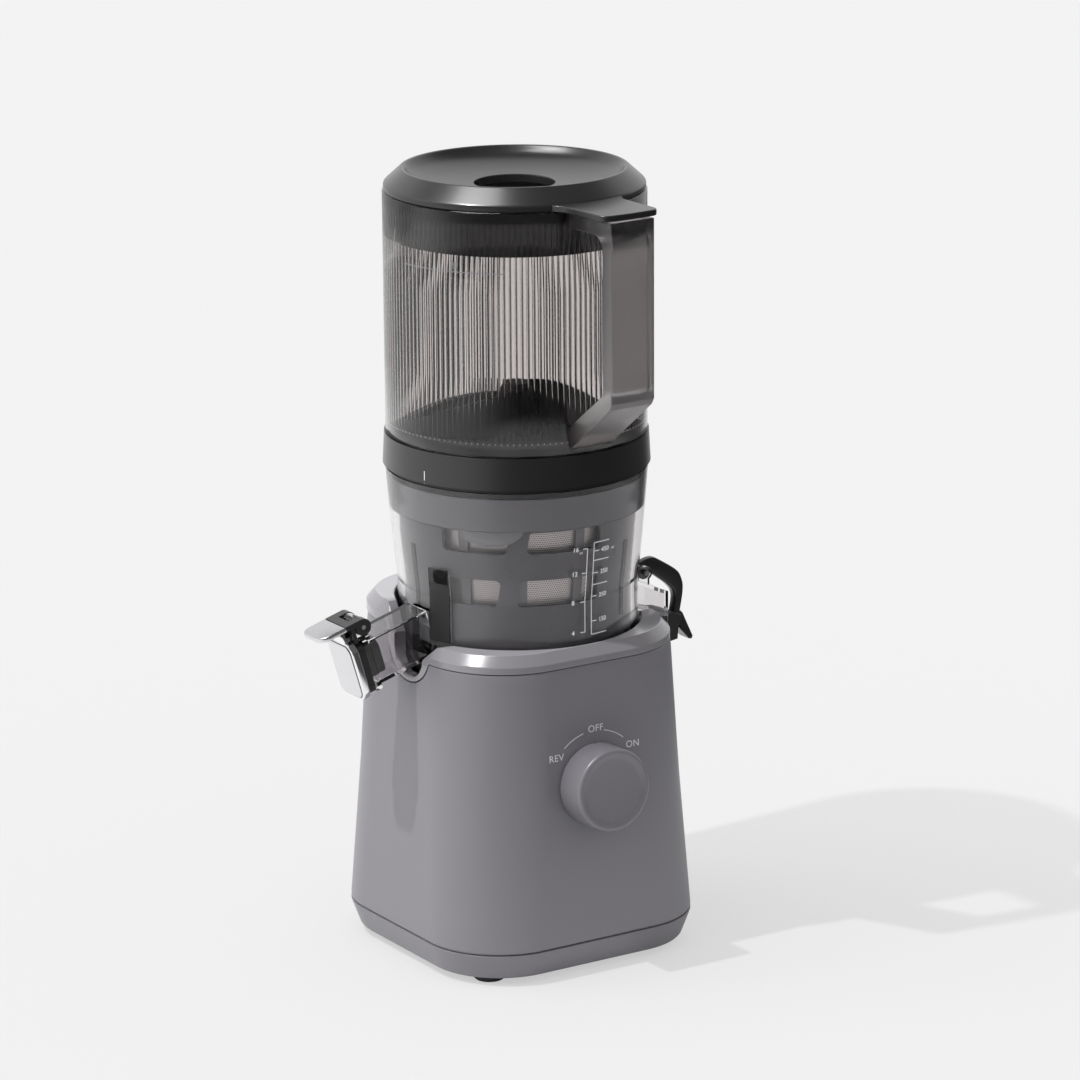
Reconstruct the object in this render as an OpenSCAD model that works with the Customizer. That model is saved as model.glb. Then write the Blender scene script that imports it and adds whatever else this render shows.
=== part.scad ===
// Cold press juicer: a slow masticating juicer with a clear fluted hopper.
// Millimetres, +Z up. Origin: centre of the footprint, on the worktop.
// The knob and the hopper's handle face -Y, the juice spout points to -X
// and the pulp outlet to +X.

/* [Base] */
// How far the housing spreads from its waist down to the plinth seam
foot_spread = 4.6; // [2:0.2:7]
// How far the housing spreads from the cover seam down to its waist
waist_spread = 2.9; // [1:0.1:5]
// Corner radius of the base at the plinth seam
base_corner = 46.5; // [42:0.5:50]
// Corner radius of the housing at the cover seam
neck_corner = 50; // [46:0.5:54]
// Height of the waist
waist_z = 105; // [90:1:130]
// Height of the seam between plinth and housing
plinth_seam_z = 19.5; // [15:0.5:24]
// Height of the rubber feet below the plinth
foot_h = 4; // [3:0.5:6]
// Radius of a rubber foot
foot_r = 9; // [7:0.5:11]
// How far each foot, and the screw above it, stands in from the base's widest line
foot_inset = 26.9; // [25:0.1:30]
// Wall thickness of the housing and the plinth
base_wall = 3; // [2:0.2:3.2]
// How far the plinth draws in towards the feet
plinth_draw = 5; // [3:0.5:7]

/* [Cover] */
// Height of the front seam between housing and cover
cover_seam_z = 179.8; // [176:0.2:182]
// Height of the cover's flat top at the front
cover_top_z = 189.7; // [188:0.2:192]
// Width of the chamfer round the cover's front edge
cover_chamfer = 5; // [3:0.5:6]
// Height of the raised rim behind the bowl
shoulder_z = 204.5; // [198:0.5:210]
// Gap between the bowl and the round opening that it drops into
bowl_play = 1.6; // [1.2:0.1:2.6]
// Width of the cover's top beside the opening
cover_rim = 6.4; // [6:0.1:8]
// Radius of the notch that clears an outlet
notch_r = 16; // [15:0.5:18]
// Height of the notch's centre
notch_z = 184; // [183:0.5:186]
// Width of the painted band between a notch and the seam that dips under it
notch_band = 7; // [4:0.5:8]
// Gap that shows at the seams
seam_gap = 0.3; // [0.2:0.05:0.6]
// Height of the deck that the bowl stands on
deck_z = 165; // [163:0.5:166]

/* [Bowl] */
// Outer radius of the bowl where it stands in the base
bowl_r = 68.4; // [64:0.1:76]
// How far the bowl widens up to its rim
bowl_flare = 6; // [5:0.1:7]
// Height of the bowl's rim
bowl_rim_z = 280.2; // [276:0.2:284]
// Wall thickness of the bowl
bowl_wall = 4; // [3.6:0.1:4.2]
// Height of the bowl's floor
floor_z = 185; // [184:0.5:186]
// Thickness of the bowl's floor
floor_t = 3; // [2.5:0.25:3.5]
// Clearance between the bowl and the wiper cage, and between the cage and the strainer
cage_gap = 0.9; // [0.6:0.1:1]
// Thickness of the wiper cage
cage_t = 2.2; // [1.8:0.1:2.4]
// Number of silicone wiper blades round the cage
blades = 3; // [2:1:3]
// Number of ribs in the strainer's frame
strainer_ribs = 12; // [8:1:18]

/* [Outlets] */
// Place of both outlets along Y
outlet_y = -4.7; // [-7:0.1:0]
// Slope of the juice spout below the horizontal, in degrees
spout_tilt = 16.5; // [12:0.5:20]
// Length of the spout's tube from the bowl's wall
spout_len = 39.9; // [34:0.1:46]
// Width of the spout's tube
spout_w = 19.5; // [17:0.5:22]
// Height of the spout's tube, square to its slope
spout_h = 27.5; // [25:0.5:28.5]
// Height of the spout's axis where it leaves the bowl
spout_z = 193; // [192:0.5:194]
// Wall thickness of the spout and the pulp duct
duct_wall = 2; // [1.5:0.1:2.5]
// Width of the spout's cap
cap_w = 27; // [24:0.5:30]
// Height of the spout's cap
cap_h = 36; // [33:0.5:39]
// How far the pulp duct reaches from the bowl's wall
duct_len = 23.6; // [20:0.2:28]
// Width of the pulp duct
duct_w = 24; // [20:0.5:26]

/* [Hopper] */
// How far the hopper's wall stands in from the bowl's rim
hopper_draw = 0.4; // [0:0.1:1.5]
// Wall thickness of the clear hopper at the flutes' ridges
hopper_wall = 3.4; // [3:0.1:4]
// Number of flutes round the inside of the hopper
flutes = 134; // [60:2:150]
// Depth of a flute
flute_depth = 0.9; // [0.5:0.1:1.4]
// Height of the hopper's lower edge
hopper_z = 300.3; // [296:0.2:304]
// Height of the hopper's upper edge
hopper_top_z = 437.8; // [400:0.2:460]
// Angle that the handle stands past the front line, in degrees
hopper_turn = 2; // [-6:0.5:10]
// How far the handle's outer face stands off the hopper
handle_stand = 39; // [35:0.5:44]
// Thickness of the handle's grip
grip_t = 9; // [8:0.5:12]
// Width of the handle
handle_w = 29; // [24:0.5:32]
// Thickness of the handle's upper arm
arm_t = 9; // [7:0.5:11]
// How far the black base ring stands out past the bowl's rim
ring_lip = 1.3; // [0.8:0.1:2.5]

/* [Lid] */
// Height of the lid's bevel and rim above the hopper's edge
lid_h = 12.2; // [10:0.2:15]
// How far the lid's upper rim stands in from the hopper's wall
lid_bevel = 10.1; // [8:0.1:13]
// Radius of the hole in the lid
lid_hole_r = 22.5; // [18:0.5:26]
// Depth of the skirt that hangs inside the hopper
skirt_h = 25.5; // [18:0.5:30]
// Width of the lid's tab over the handle
tab_w = 38; // [34:0.5:42]
// Thickness of the lid's tab
tab_t = 3.5; // [3:0.1:4.5]

/* [Drive] */
// Tooth size of the first gear stage
stage1_module = 1; // [0.9:0.05:1.05]
// Tooth size of the second gear stage
stage2_module = 1.5; // [1.4:0.05:1.55]
// Radius of the steel output shaft
shaft_r = 8; // [7:0.25:8.5]
// Width across the flats of the hexagonal drive
hex_flats = 12; // [10:0.5:12]
// Width of the rim round the wiper cage's ring gear
ring_rim = 3.58; // [3.3:0.02:5]
// Direction of the idler from the output shaft, in degrees from +Y
drive_turn = -45; // [-45:5:45]
// Radius of the motor
motor_r = 40; // [36:0.5:42]
// Height of the motor
motor_h = 70; // [60:1:74]
// Clearance between the auger's screw flights and the strainer
auger_gap = 1.1; // [0.8:0.1:3]
// Number of screw flights on the auger
flights = 2; // [1:1:3]

/* [Controls] */
// Height of the knob's centre
knob_z = 110.7; // [95:0.1:125]
// Radius of the knob
knob_r = 23.6; // [18:0.2:27]
// How far the knob stands out of the housing
knob_h = 20.5; // [16:0.5:24]

/* [Hidden] */
$fn = 96;

shell_grey = [0.42, 0.41, 0.43];
cover_grey = [0.5, 0.49, 0.51];
satin_black = [0.13, 0.13, 0.135];
cage_grey = [0.37, 0.37, 0.385];
smoke = [0.42, 0.41, 0.43, 0.45];
water_clear = [0.85, 0.85, 0.86, 0.4];
steel = [0.75, 0.75, 0.76];
chrome = [0.88, 0.88, 0.89];
nylon = [0.9, 0.89, 0.84];

eps = 0.01;
hull_fn = 48;
slab_t = 0.02;
fit = 0.05;          // running clearance of a shaft in its bush
joint_gap = 0.3;     // clearance between bodies that move past each other
seat_gap = 0.05;     // clearance where one body rests flat on another
big = 400;

// ---------- sizes that follow the bowl ----------
opening_r = bowl_r + bowl_play;
neck_half = opening_r + cover_rim;
waist_half = neck_half + waist_spread;
base_half = waist_half + foot_spread;
foot_at = base_half - foot_inset;
duct_reach = bowl_r + duct_len;
bowl_rim_r = bowl_r + bowl_flare;
hopper_r = bowl_rim_r - hopper_draw;
ring_r = bowl_rim_r + ring_lip;
handle_reach = hopper_r + handle_stand;
lid_rim_r = hopper_r - lid_bevel;

// ---------- base ----------
plinth_z = foot_h;
waist_corner = (base_corner + neck_corner) / 2;
rear_y = outlet_y + notch_r;
rear_seam_z = cover_seam_z + 13;
dip_r = notch_r + notch_band;
dip_z = notch_z + 3.7;
collar_r = neck_half - base_wall - 0.4;
flange_t = 3;
flange_z = deck_z - 5;
front_slope = atan((base_half - waist_half) / (waist_z - plinth_seam_z));
knob_face_y = waist_half + (waist_z - knob_z) * (waist_half - neck_half) / (cover_seam_z - waist_z);
// Half width of the housing's outside at a height below the waist
function housing_half(z) = base_half - (z - plinth_seam_z) * tan(front_slope);

// A square with round corners, drawn from exact arcs
module rounded_square(half, corner) {
    square([2 * half, 2 * (half - corner)], center = true);
    square([2 * (half - corner), 2 * half], center = true);
    for (sx = [-1, 1], sy = [-1, 1])
        translate([sx * (half - corner), sy * (half - corner)]) circle(corner);
}

module slab(half, corner, z)
    translate([0, 0, z]) linear_extrude(slab_t) rounded_square(half, corner, $fn = hull_fn);

// One tapering length of the body
module taper(low, high) hull() {
    slab(low[0], low[1], low[2]);
    slab(high[0], high[1], high[2] - slab_t);
}

// The space above the line where housing and cover meet
module above_seam(gap) {
    translate([-big / 2, -big / 2, cover_seam_z + gap]) cube([big, big / 2 + rear_y, big]);
    translate([-big / 2, rear_y - eps, rear_seam_z + gap]) cube([big, big, big]);
    for (side = [-1, 1])
        translate([side * base_half, outlet_y, dip_z])
            rotate([0, 90, 0]) cylinder(r = dip_r - gap, h = base_half, center = true);
}

// A frame whose Z axis leaves the housing's front face at the knob
module at_knob() translate([0, -knob_face_y, knob_z]) rotate([90 - front_slope, 0, 0]) children();

module plinth() color(shell_grey) {
    difference() {
        taper([base_half - plinth_draw, base_corner - plinth_draw + 1, plinth_z],
              [base_half, base_corner, plinth_seam_z - seam_gap]);
        translate([0, 0, plinth_z + base_wall])
            taper([base_half - plinth_draw - base_wall, base_corner - plinth_draw - 2, 0],
                  [base_half - base_wall, base_corner - base_wall, plinth_seam_z]);
        // air slots under the fan
        at_drive(motor_y, 0) for (k = [-3:3])
            translate([k * 9 - 2, -22, 0]) cube([4, 44, plinth_z + base_wall + 1]);
        for (sx = [-1, 1], sy = [-1, 1]) translate([sx * screw_at, sy * screw_at, 0]) {
            cylinder(r = screw_r + 0.2, h = plinth_seam_z);
            cylinder(r = 2 * screw_r + 0.3, h = plinth_z + 1.5);
        }
    }
}

module housing() color(shell_grey) difference() {
    union() {
        difference() {
            union() {
                taper([base_half, base_corner, plinth_seam_z], [waist_half, waist_corner, waist_z]);
                taper([waist_half, waist_corner, waist_z],
                      [neck_half - 0.5, neck_corner, rear_seam_z]);
            }
            translate([0, 0, -eps])
                taper([base_half - base_wall, base_corner - base_wall, plinth_seam_z],
                      [waist_half - base_wall, waist_corner - base_wall, waist_z + 2 * eps]);
            taper([waist_half - base_wall, waist_corner - base_wall, waist_z],
                  [neck_half - base_wall, neck_corner - base_wall, rear_seam_z + 1]);
        }
        // screw posts that the plinth is fastened to
        for (sx = [-1, 1], sy = [-1, 1]) translate([sx * screw_at, sy * screw_at, plinth_z + base_wall])
            cylinder(r = 5, h = 40, $fn = 32);
        intersection() {
            for (a = [45:90:359]) rotate(a)
                translate([screw_at * sqrt(2) + 3, -2, plinth_seam_z]) cube([30, 4, 27]);
            taper([base_half - 1, base_corner - 1, plinth_seam_z],
                  [waist_half - 1, waist_corner - 1, waist_z]);
        }
        // the panel is thicker behind the knob
        intersection() {
            at_knob() translate([0, 0, -8]) cylinder(r = knob_r + 4, h = 8);
            taper([base_half - 1, base_corner, plinth_seam_z], [waist_half - 1, waist_corner, waist_z + 40]);
        }
    }
    above_seam(0);
    for (sx = [-1, 1], sy = [-1, 1])
        translate([sx * screw_at, sy * screw_at, 0]) cylinder(r = screw_r, h = plinth_z + base_wall + 16);
    // the knob's shallow seat and the hole for its spindle
    at_knob() translate([0, 0, -1.5]) cylinder(r = knob_r + 0.8, h = 10);
    at_knob() translate([0, 0, -12]) cylinder(r = bush_r + fit, h = 20);
    at_gland() translate([0, 0, -12]) cylinder(r = gland_r, h = 20);
}

// Side view of the cover behind the outlets, as [y, z]
shoulder_outline = [
    [rear_y, flange_z], [rear_y, cover_top_z], [rear_y + 3, cover_top_z + 4],
    [rear_y + 9, shoulder_z - 3.5], [rear_y + 17, shoulder_z], [base_half, shoulder_z], [base_half, flange_z]
];

module front_solid() {
    taper([neck_half + 0.6, neck_corner, flange_z], [neck_half, neck_corner, cover_top_z - cover_chamfer]);
    taper([neck_half, neck_corner, cover_top_z - cover_chamfer - eps],
          [neck_half - cover_chamfer, neck_corner - cover_chamfer, cover_top_z]);
}

module rear_solid() intersection() {
    union() {
        taper([neck_half + 0.6, neck_corner, flange_z], [neck_half - 0.5, neck_corner, shoulder_z - 6]);
        taper([neck_half - 0.5, neck_corner, shoulder_z - 6 - eps],
              [neck_half - 6, neck_corner - 5, shoulder_z]);
    }
    rotate([90, 0, 90]) linear_extrude(big, center = true) polygon(shoulder_outline);
}

module notches() for (side = [-1, 1]) translate([side * base_half, 0, 0])
    rotate([90, 0, 90]) linear_extrude(base_half, center = true) {
        translate([outlet_y, notch_z]) circle(notch_r);
        translate([outlet_y - notch_r, notch_z]) square([2 * notch_r, shoulder_z]);
        polygon([[outlet_y - notch_r - 10, cover_top_z + 1], [outlet_y - notch_r + 1, notch_z - 3],
                 [outlet_y - notch_r + 1, cover_top_z + 1]]);
    }

module top_cover() color(cover_grey) difference() {
    union() {
        intersection() {
            union() {
                front_solid();
                rear_solid();
            }
            above_seam(seam_gap);
        }
        translate([0, 0, flange_z]) cylinder(r = collar_r, h = cover_top_z - flange_z - 3);
    }
    translate([0, 0, flange_z - 1]) cylinder(r = opening_r, h = big / 4);
    notches();
}

deck_bush_r = shaft_r + 5;
module well_deck() color(satin_black) difference() {
    union() {
        translate([0, 0, flange_z - flange_t]) cylinder(r = collar_r, h = flange_t);
        translate([0, 0, flange_z - eps]) cylinder(r = opening_r - 0.2, h = deck_z - flange_z + eps);
        // rim that keeps spilt juice off the shaft
        translate([0, 0, deck_z - eps]) cylinder(r = deck_bush_r + 2, h = 2);
    }
    translate([0, 0, flange_z - flange_t - 1]) cylinder(r = deck_bush_r, h = big / 10);
    // the deck dips where the notches let the outlets out
    notches();
}

module feet() color(satin_black) for (sx = [-1, 1], sy = [-1, 1])
    translate([sx * foot_at, sy * foot_at, 0]) rotate_extrude()
        polygon([[0, 0], [foot_r - 1, 0], [foot_r, 1], [foot_r, foot_h], [0, foot_h]]);

screw_r = 1.6;
screw_at = foot_at;
module plinth_screws() color(steel) for (sx = [-1, 1], sy = [-1, 1])
    translate([sx * screw_at, sy * screw_at, plinth_z]) {
        translate([0, 0, 0.1]) cylinder(r = 2 * screw_r, h = 1.4, $fn = 24);
        translate([0, 0, 1]) cylinder(r = screw_r, h = 16, $fn = 24);
    }

// ---------- motor and gearbox ----------
// Stage 1 runs from the motor to the idler, stage 2 from the idler to the output shaft.
pinion1_n = 12;
wheel1_n = 48;
pinion2_n = 14;
wheel2_n = 42;
idler_y = stage2_module * (pinion2_n + wheel2_n) / 2;
motor_y = idler_y - stage1_module * (pinion1_n + wheel1_n) / 2;
// The motor and the idler stand in one line with the output shaft
module at_drive(y, z) rotate(drive_turn) translate([0, y, z]) children();
motor_z = 30;
motor_top_z = motor_z + motor_h;
case_floor_t = 4;
gears_z = motor_top_z + case_floor_t + 4;
gear_t = 8;
stage2_z = gears_z + gear_t + 3;
gear2_t = 14;
case_top_z = stage2_z + gear2_t + 4;
lid_t = 5;
idler_r = 5;
motor_shaft_r = 3;

// Outline of a gear: straight-flanked teeth with running backlash; wide adds to each flank
function gear_points(module_mm, n, out = 0.95, in = 1.2, wide = 0) = let (
    pitch = module_mm * n / 2, step = 360 / n,
    tip = pitch + out * module_mm, root = pitch - in * module_mm,
    foot = 0.31 + wide, point = 0.12 + wide)
    [for (i = [0:n - 1], p = [[root, -foot], [tip, -point], [tip, point], [root, foot]])
        p[0] * [cos(step * (i + p[1])), sin(step * (i + p[1]))]];

module gear(module_mm, n, h, turn = 0)
    rotate(turn) linear_extrude(h) polygon(gear_points(module_mm, n));

module motor_stator() color([0.35, 0.36, 0.38]) at_drive(motor_y, motor_z) difference() {
    union() {
        cylinder(r = motor_r, h = motor_h);
        translate([0, 0, -3]) cylinder(r = motor_r - 14, h = 4);
    }
    translate([0, 0, 4]) cylinder(r = motor_r - 12, h = motor_h - 8);
    translate([0, 0, -4]) cylinder(r = motor_shaft_r + fit, h = motor_h + 8);
    for (a = [0:45:359]) rotate(a) translate([motor_r - 17, -2, -4]) cube([8, 4, 9]);
}

module motor_rotor() color(steel) at_drive(motor_y, motor_z + 8) difference() {
    cylinder(r = motor_r - 13, h = motor_h - 16);
    translate([0, 0, -1]) cylinder(r = motor_shaft_r, h = motor_h);
    for (a = [0:30:359]) rotate(a) translate([motor_r - 15, -1.5, -1]) cube([4, 3, motor_h]);
}

fan_z = 13;
fan_r = 29;
module motor_shaft() color(steel)
    at_drive(motor_y, fan_z) cylinder(r = motor_shaft_r, h = gears_z + gear_t + 0.5 - fan_z);

module cooling_fan() color(nylon) at_drive(motor_y, fan_z + 1) difference() {
    union() {
        cylinder(r = 9, h = 11);
        cylinder(r = fan_r, h = 1.5);
        for (k = [0:8]) rotate(k * 40) rotate([0, 0, 18])
            translate([8, -0.9, 0]) cube([fan_r - 9, 1.8, 9]);
    }
    translate([0, 0, -1]) cylinder(r = motor_shaft_r, h = 20);
}

module motor_pinion() color(steel) at_drive(motor_y, gears_z - 1) difference() {
    gear(stage1_module, pinion1_n, gear_t + 1.5, 90 + 180 / pinion1_n);
    translate([0, 0, -1]) cylinder(r = motor_shaft_r, h = big / 10);
}

module reduction_gear() color(nylon) at_drive(idler_y, gears_z) difference() {
    union() {
        gear(stage1_module, wheel1_n, gear_t, -90);
        translate([0, 0, gear_t - eps]) cylinder(r = 7.5, h = stage2_z - gears_z - gear_t + 2 * eps);
        translate([0, 0, stage2_z - gears_z]) gear(stage2_module, pinion2_n, gear2_t, -90);
    }
    translate([0, 0, -1]) cylinder(r = idler_r + fit, h = big / 10);
}

module idler_pin() color(steel)
    at_drive(idler_y, motor_top_z + case_floor_t)
        cylinder(r = idler_r, h = case_top_z - motor_top_z - case_floor_t);

module gearbox_outline(grow) {
    circle(stage2_module * wheel2_n / 2 + grow);
    translate([0, idler_y]) circle(stage1_module * wheel1_n / 2 + grow);
    translate([-stage1_module * wheel1_n / 2 - grow, 0])
        square([stage1_module * wheel1_n + 2 * grow, idler_y]);
}

module gearbox_bolts(r, h) for (p = gearbox_bolt_at)
    translate([p[0], p[1], 0]) cylinder(r = r, h = h, $fn = 24);
gearbox_bolt_at = [[-38, 0], [38, 0], [0, -38], [-32, idler_y - 4], [32, idler_y - 4]];

module gearbox_case() color([0.6, 0.6, 0.62]) at_drive(0, motor_top_z) difference() {
    union() {
        linear_extrude(case_top_z - motor_top_z) gearbox_outline(5);
        gearbox_bolts(5, case_top_z - motor_top_z);
    }
    translate([0, 0, case_floor_t]) linear_extrude(big / 10) gearbox_outline(2.5);
    translate([0, motor_y, -1]) cylinder(r = motor_shaft_r + 2, h = 20);
    translate([0, 0, 10]) gearbox_bolts(1.6, big / 10);
}

module gearbox_lid() color([0.6, 0.6, 0.62]) at_drive(0, case_top_z) difference() {
    union() {
        linear_extrude(lid_t) gearbox_outline(5);
        gearbox_bolts(5, lid_t);
        cylinder(r = deck_bush_r + 3, h = flange_z - flange_t - case_top_z);
    }
    translate([0, 0, -1]) cylinder(r = deck_bush_r - 2, h = big / 10);
    translate([0, 0, -1]) gearbox_bolts(1.8, lid_t + 2);
}

module gearbox_screws() color(steel) at_drive(0, case_top_z) {
    for (p = gearbox_bolt_at) translate([p[0], p[1], 0]) {
        translate([0, 0, lid_t]) cylinder(r = 3, h = 2.4, $fn = 24);
        translate([0, 0, -12]) cylinder(r = 1.5, h = lid_t + 12.1, $fn = 24);
    }
}

module output_bush() color([0.72, 0.58, 0.35]) translate([0, 0, case_top_z + 1]) difference() {
    cylinder(r = deck_bush_r - 2, h = deck_z - case_top_z - 1);
    translate([0, 0, -1]) cylinder(r = shaft_r + fit, h = big / 10);
}

module output_gear() color(steel) at_drive(0, stage2_z) difference() {
    gear(stage2_module, wheel2_n, gear2_t, 90 + 180 / wheel2_n);
    translate([0, 0, -1]) cylinder(r = shaft_r, h = big / 10);
}

hex_top_z = 208;
module drive_shaft() color(steel) {
    translate([0, 0, stage2_z - 0.4]) cylinder(r = shaft_r, h = deck_z + 3 - stage2_z);
    translate([0, 0, deck_z + 2]) linear_extrude(hex_top_z - deck_z - 2) circle(hex_flats / sqrt(3), $fn = 6);
}

mount_r = 4;
module motor_mounts() color(satin_black) at_drive(motor_y, 0) for (a = [45:90:359])
    rotate(a) translate([motor_r - mount_r - 0.5, 0, plinth_z + base_wall])
        cylinder(r = mount_r, h = motor_z - plinth_z - base_wall, $fn = 32);

board = [60, 1.6, 40];
board_z = 40;
board_gap = 15.8;
stud_z = board_z + board[2] - 6;
// The board stands on two studs off the housing's front wall
module control_board() color([0.1, 0.35, 0.2])
    translate([-board[0] / 2, board_gap + base_wall + 0.2 - housing_half(stud_z), board_z]) {
        cube(board);
        for (k = [0:2]) translate([8 + k * 17, board[1], 12]) cube([10, 9, 14]);
        for (x = [6, board[0] - 6]) translate([x, 0, stud_z - board_z]) rotate([90, 0, 0])
            cylinder(r = 3, h = board_gap, $fn = 24);
    }

bush_r = 5;
spindle_r = 3;
switch_depth = 17;
module rotary_switch() color(satin_black) at_knob() difference() {
    union() {
        translate([-13, -13, -8 - switch_depth]) cube([26, 26, switch_depth]);
        translate([0, 0, -8 - eps]) cylinder(r = bush_r, h = 8);
    }
    translate([0, 0, -8 - switch_depth + 4]) cylinder(r = spindle_r + fit, h = big / 10);
}

module knob_spindle() color(steel) at_knob()
    translate([0, 0, -8 - switch_depth + 4.5]) cylinder(r = spindle_r, h = switch_depth + 14);

dish = 3.4;
shoulder_r = 3;
// Side outline of the knob: round shoulder and dished face
knob_outline = concat(
    [[0, 0.4], [knob_r, 0.4]],
    arc([knob_r - shoulder_r, knob_h - shoulder_r], shoulder_r, 0, 90, 4),
    [for (k = [6:-1:1]) [(knob_r - shoulder_r - 0.6) * k / 6,
        knob_h - dish * (1 - pow((k - 1) / 5, 2)) - 0.2]],
    [[0, knob_h - dish - 0.2]]);

// A moulded knob with a pointer notch in its rim
module knob() color(shell_grey) at_knob() difference() {
    rotate_extrude() polygon(knob_outline);
    translate([0, 0, -1]) cylinder(r = spindle_r, h = 12);
    translate([0, 0, -1]) difference() {
        cylinder(r = knob_r - 2.2, h = 9);
        cylinder(r = 7, h = 9);
        for (a = [30:120:270]) rotate(a) translate([0, -0.8, 0]) cube([knob_r, 1.6, 9]);
    }
    translate([-0.9, knob_r - 5, knob_h - 2.4]) cube([1.8, 6, 4]);
}

gland_z = 42;
gland_r = 8;
cord_r = 3.5;
gland_flange_t = 2.5;
gland_in = base_wall + 5.5;
// A frame whose Z axis leaves the housing's rear face at the gland
module at_gland() translate([0, housing_half(gland_z), gland_z])
    rotate([front_slope - 90, 0, 0]) children();
module cord_gland() color(satin_black) at_gland() difference() {
    union() {
        translate([0, 0, seat_gap]) cylinder(r = gland_r + 3, h = gland_flange_t);
        translate([0, 0, -gland_in]) cylinder(r = gland_r - 0.1, h = gland_in + 1);
        translate([0, 0, -base_wall - 2.3]) cylinder(r = gland_r + 2, h = 2);
    }
    translate([0, 0, -gland_in - 1]) cylinder(r = cord_r, h = 40);
}

module bowl_sensor() color(satin_black)
    translate([12 - opening_r, outlet_y - 17, flange_z - flange_t - 12]) difference() {
        cube([16, 12, 12]);
        translate([4, 3, -1]) cube([8, 6, 8]);
    }

// ---------- bowl ----------
bowl_z = deck_z + seat_gap;
boss_r = 13;
boss_wall = 3;
shelf_z = floor_z + 72.5;
cone_z = floor_z + 30;
// Outer radius of the bowl at a height
function bowl_radius(z) = z <= cone_z ? bowl_r
    : bowl_r + (bowl_rim_r - bowl_r) * pow((z - cone_z) / (bowl_rim_z - cone_z), 0.85);
cage_z = floor_z + seat_gap;
bowl_levels = [cone_z, cone_z + 14, cone_z + 28, shelf_z];
cage_levels = [for (z = bowl_levels) if (z < shelf_z) z];
function cage_radius(z) = bowl_radius(z) - bowl_wall - cage_gap;
function strainer_radius(z) = cage_radius(z) - cage_t - cage_gap;
cage_top_z = shelf_z + 1.5;
shelf_in_r = bowl_radius(shelf_z) - bowl_wall;

// The curved outlet duct of the pulp, as a side view of [x, z]
duct_in_x = 28;
port_low = [duct_reach, floor_z - 22];
port_high = [duct_reach, floor_z - 7];
duct_hollow = [
    [duct_in_x, floor_z - 12], [opening_r + 4, floor_z - 13], port_low + [1, 2.5],
    port_high + [1, 0], [opening_r + 4, floor_z - floor_t], [duct_in_x, floor_z - floor_t - 0.3]
];
duct_shell = [
    [duct_in_x - 2, floor_z - 14.5], [opening_r + 4, floor_z - 15.5], port_low,
    [duct_reach, floor_z + 8.5], [bowl_r - 1, floor_z + 19], [bowl_r - 1, floor_z - floor_t + 1],
    [duct_in_x - 2, floor_z - floor_t + 1]
];
// the box over the sloping channel is hollow too
duct_pocket = [
    [bowl_r + 1.5, floor_z + 1], [duct_reach - duct_wall, floor_z - 4.5],
    [duct_reach - duct_wall, floor_z + 7], [bowl_r + 1.5, floor_z + 16]
];
gate_pivot = [bowl_r + 11.6, floor_z + 20];

// The duct has a round underside, sunk into the cover's notch and sloping with the duct
duct_slope = atan((floor_z - 15.5 - port_low[1]) / (duct_reach - opening_r - 4));
module duct_trough(r) {
    translate([0, outlet_y, notch_z]) translate([neck_half + 0.4, 0, 0])
        rotate([0, 90 + duct_slope, 0]) cylinder(r = r, h = 4 * duct_len, center = true);
    translate([-big / 2, -big / 2, notch_z + 3]) cube([big, big, big]);
    // inside the bowl's skirt nothing is rounded
    translate([-bowl_r, -big / 2, 0]) cube([2 * bowl_r - 1, big, big]);
}
duct_trough_r = (notch_r - 0.5) * cos(duct_slope);

module side_plate(outline, width, y = outlet_y)
    translate([0, y, 0]) rotate([90, 0, 0]) linear_extrude(width, center = true) polygon(outline);

// A frame at the spout's root: -X runs down the spout, Z is square to it
module at_spout() translate([-bowl_r - 1.6, outlet_y, spout_z]) rotate([0, -spout_tilt, 0]) children();

// Distances down the spout and square to it
cap_pivot = [spout_len - 3.5, spout_h / 2 + 9];
cap_pin_r = 1.25;
lug_w = 10;
knuckle_r = 4.9;

module spout_block(from, to, width, low, high)
    translate([-to, -width / 2, low]) cube([to - from, width, high - low]);

// A ring sector: outline of [r, z], from angle a over a sweep
module sector(outline, a, sweep) rotate(a) rotate_extrude(angle = sweep) polygon(outline);

seal_a = 192;
seal_sweep = 12;
module seal_sector(grow) sector([[bowl_r - 2.4 - grow, floor_z + 5 - grow], [bowl_r + 1, floor_z + 5 - grow],
    [bowl_r + 1, floor_z + 47 + grow], [bowl_r - 2.4 - grow, floor_z + 47 + grow]],
    seal_a - grow, seal_sweep + 2 * grow);

bowl_outline = concat(
    [[bowl_r, bowl_z]],
    [for (z = bowl_levels) [bowl_radius(z), z]],
    [[bowl_radius(bowl_rim_z - 8), bowl_rim_z - 8], [bowl_rim_r, bowl_rim_z]],
    [[bowl_rim_r - 3, bowl_rim_z], [bowl_radius(shelf_z) - 2.3, shelf_z], [shelf_in_r, shelf_z]],
    [for (k = [len(bowl_levels) - 2:-1:0]) [bowl_radius(bowl_levels[k]) - bowl_wall, bowl_levels[k]]],
    [[bowl_r - bowl_wall, floor_z], [boss_r + boss_wall, floor_z], [boss_r, floor_z],
     [boss_r, deck_z + 4], [boss_r + boss_wall, deck_z + 4], [boss_r + boss_wall, floor_z - floor_t],
     [bowl_r - bowl_wall, floor_z - floor_t], [bowl_r - bowl_wall, bowl_z]]);

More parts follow.
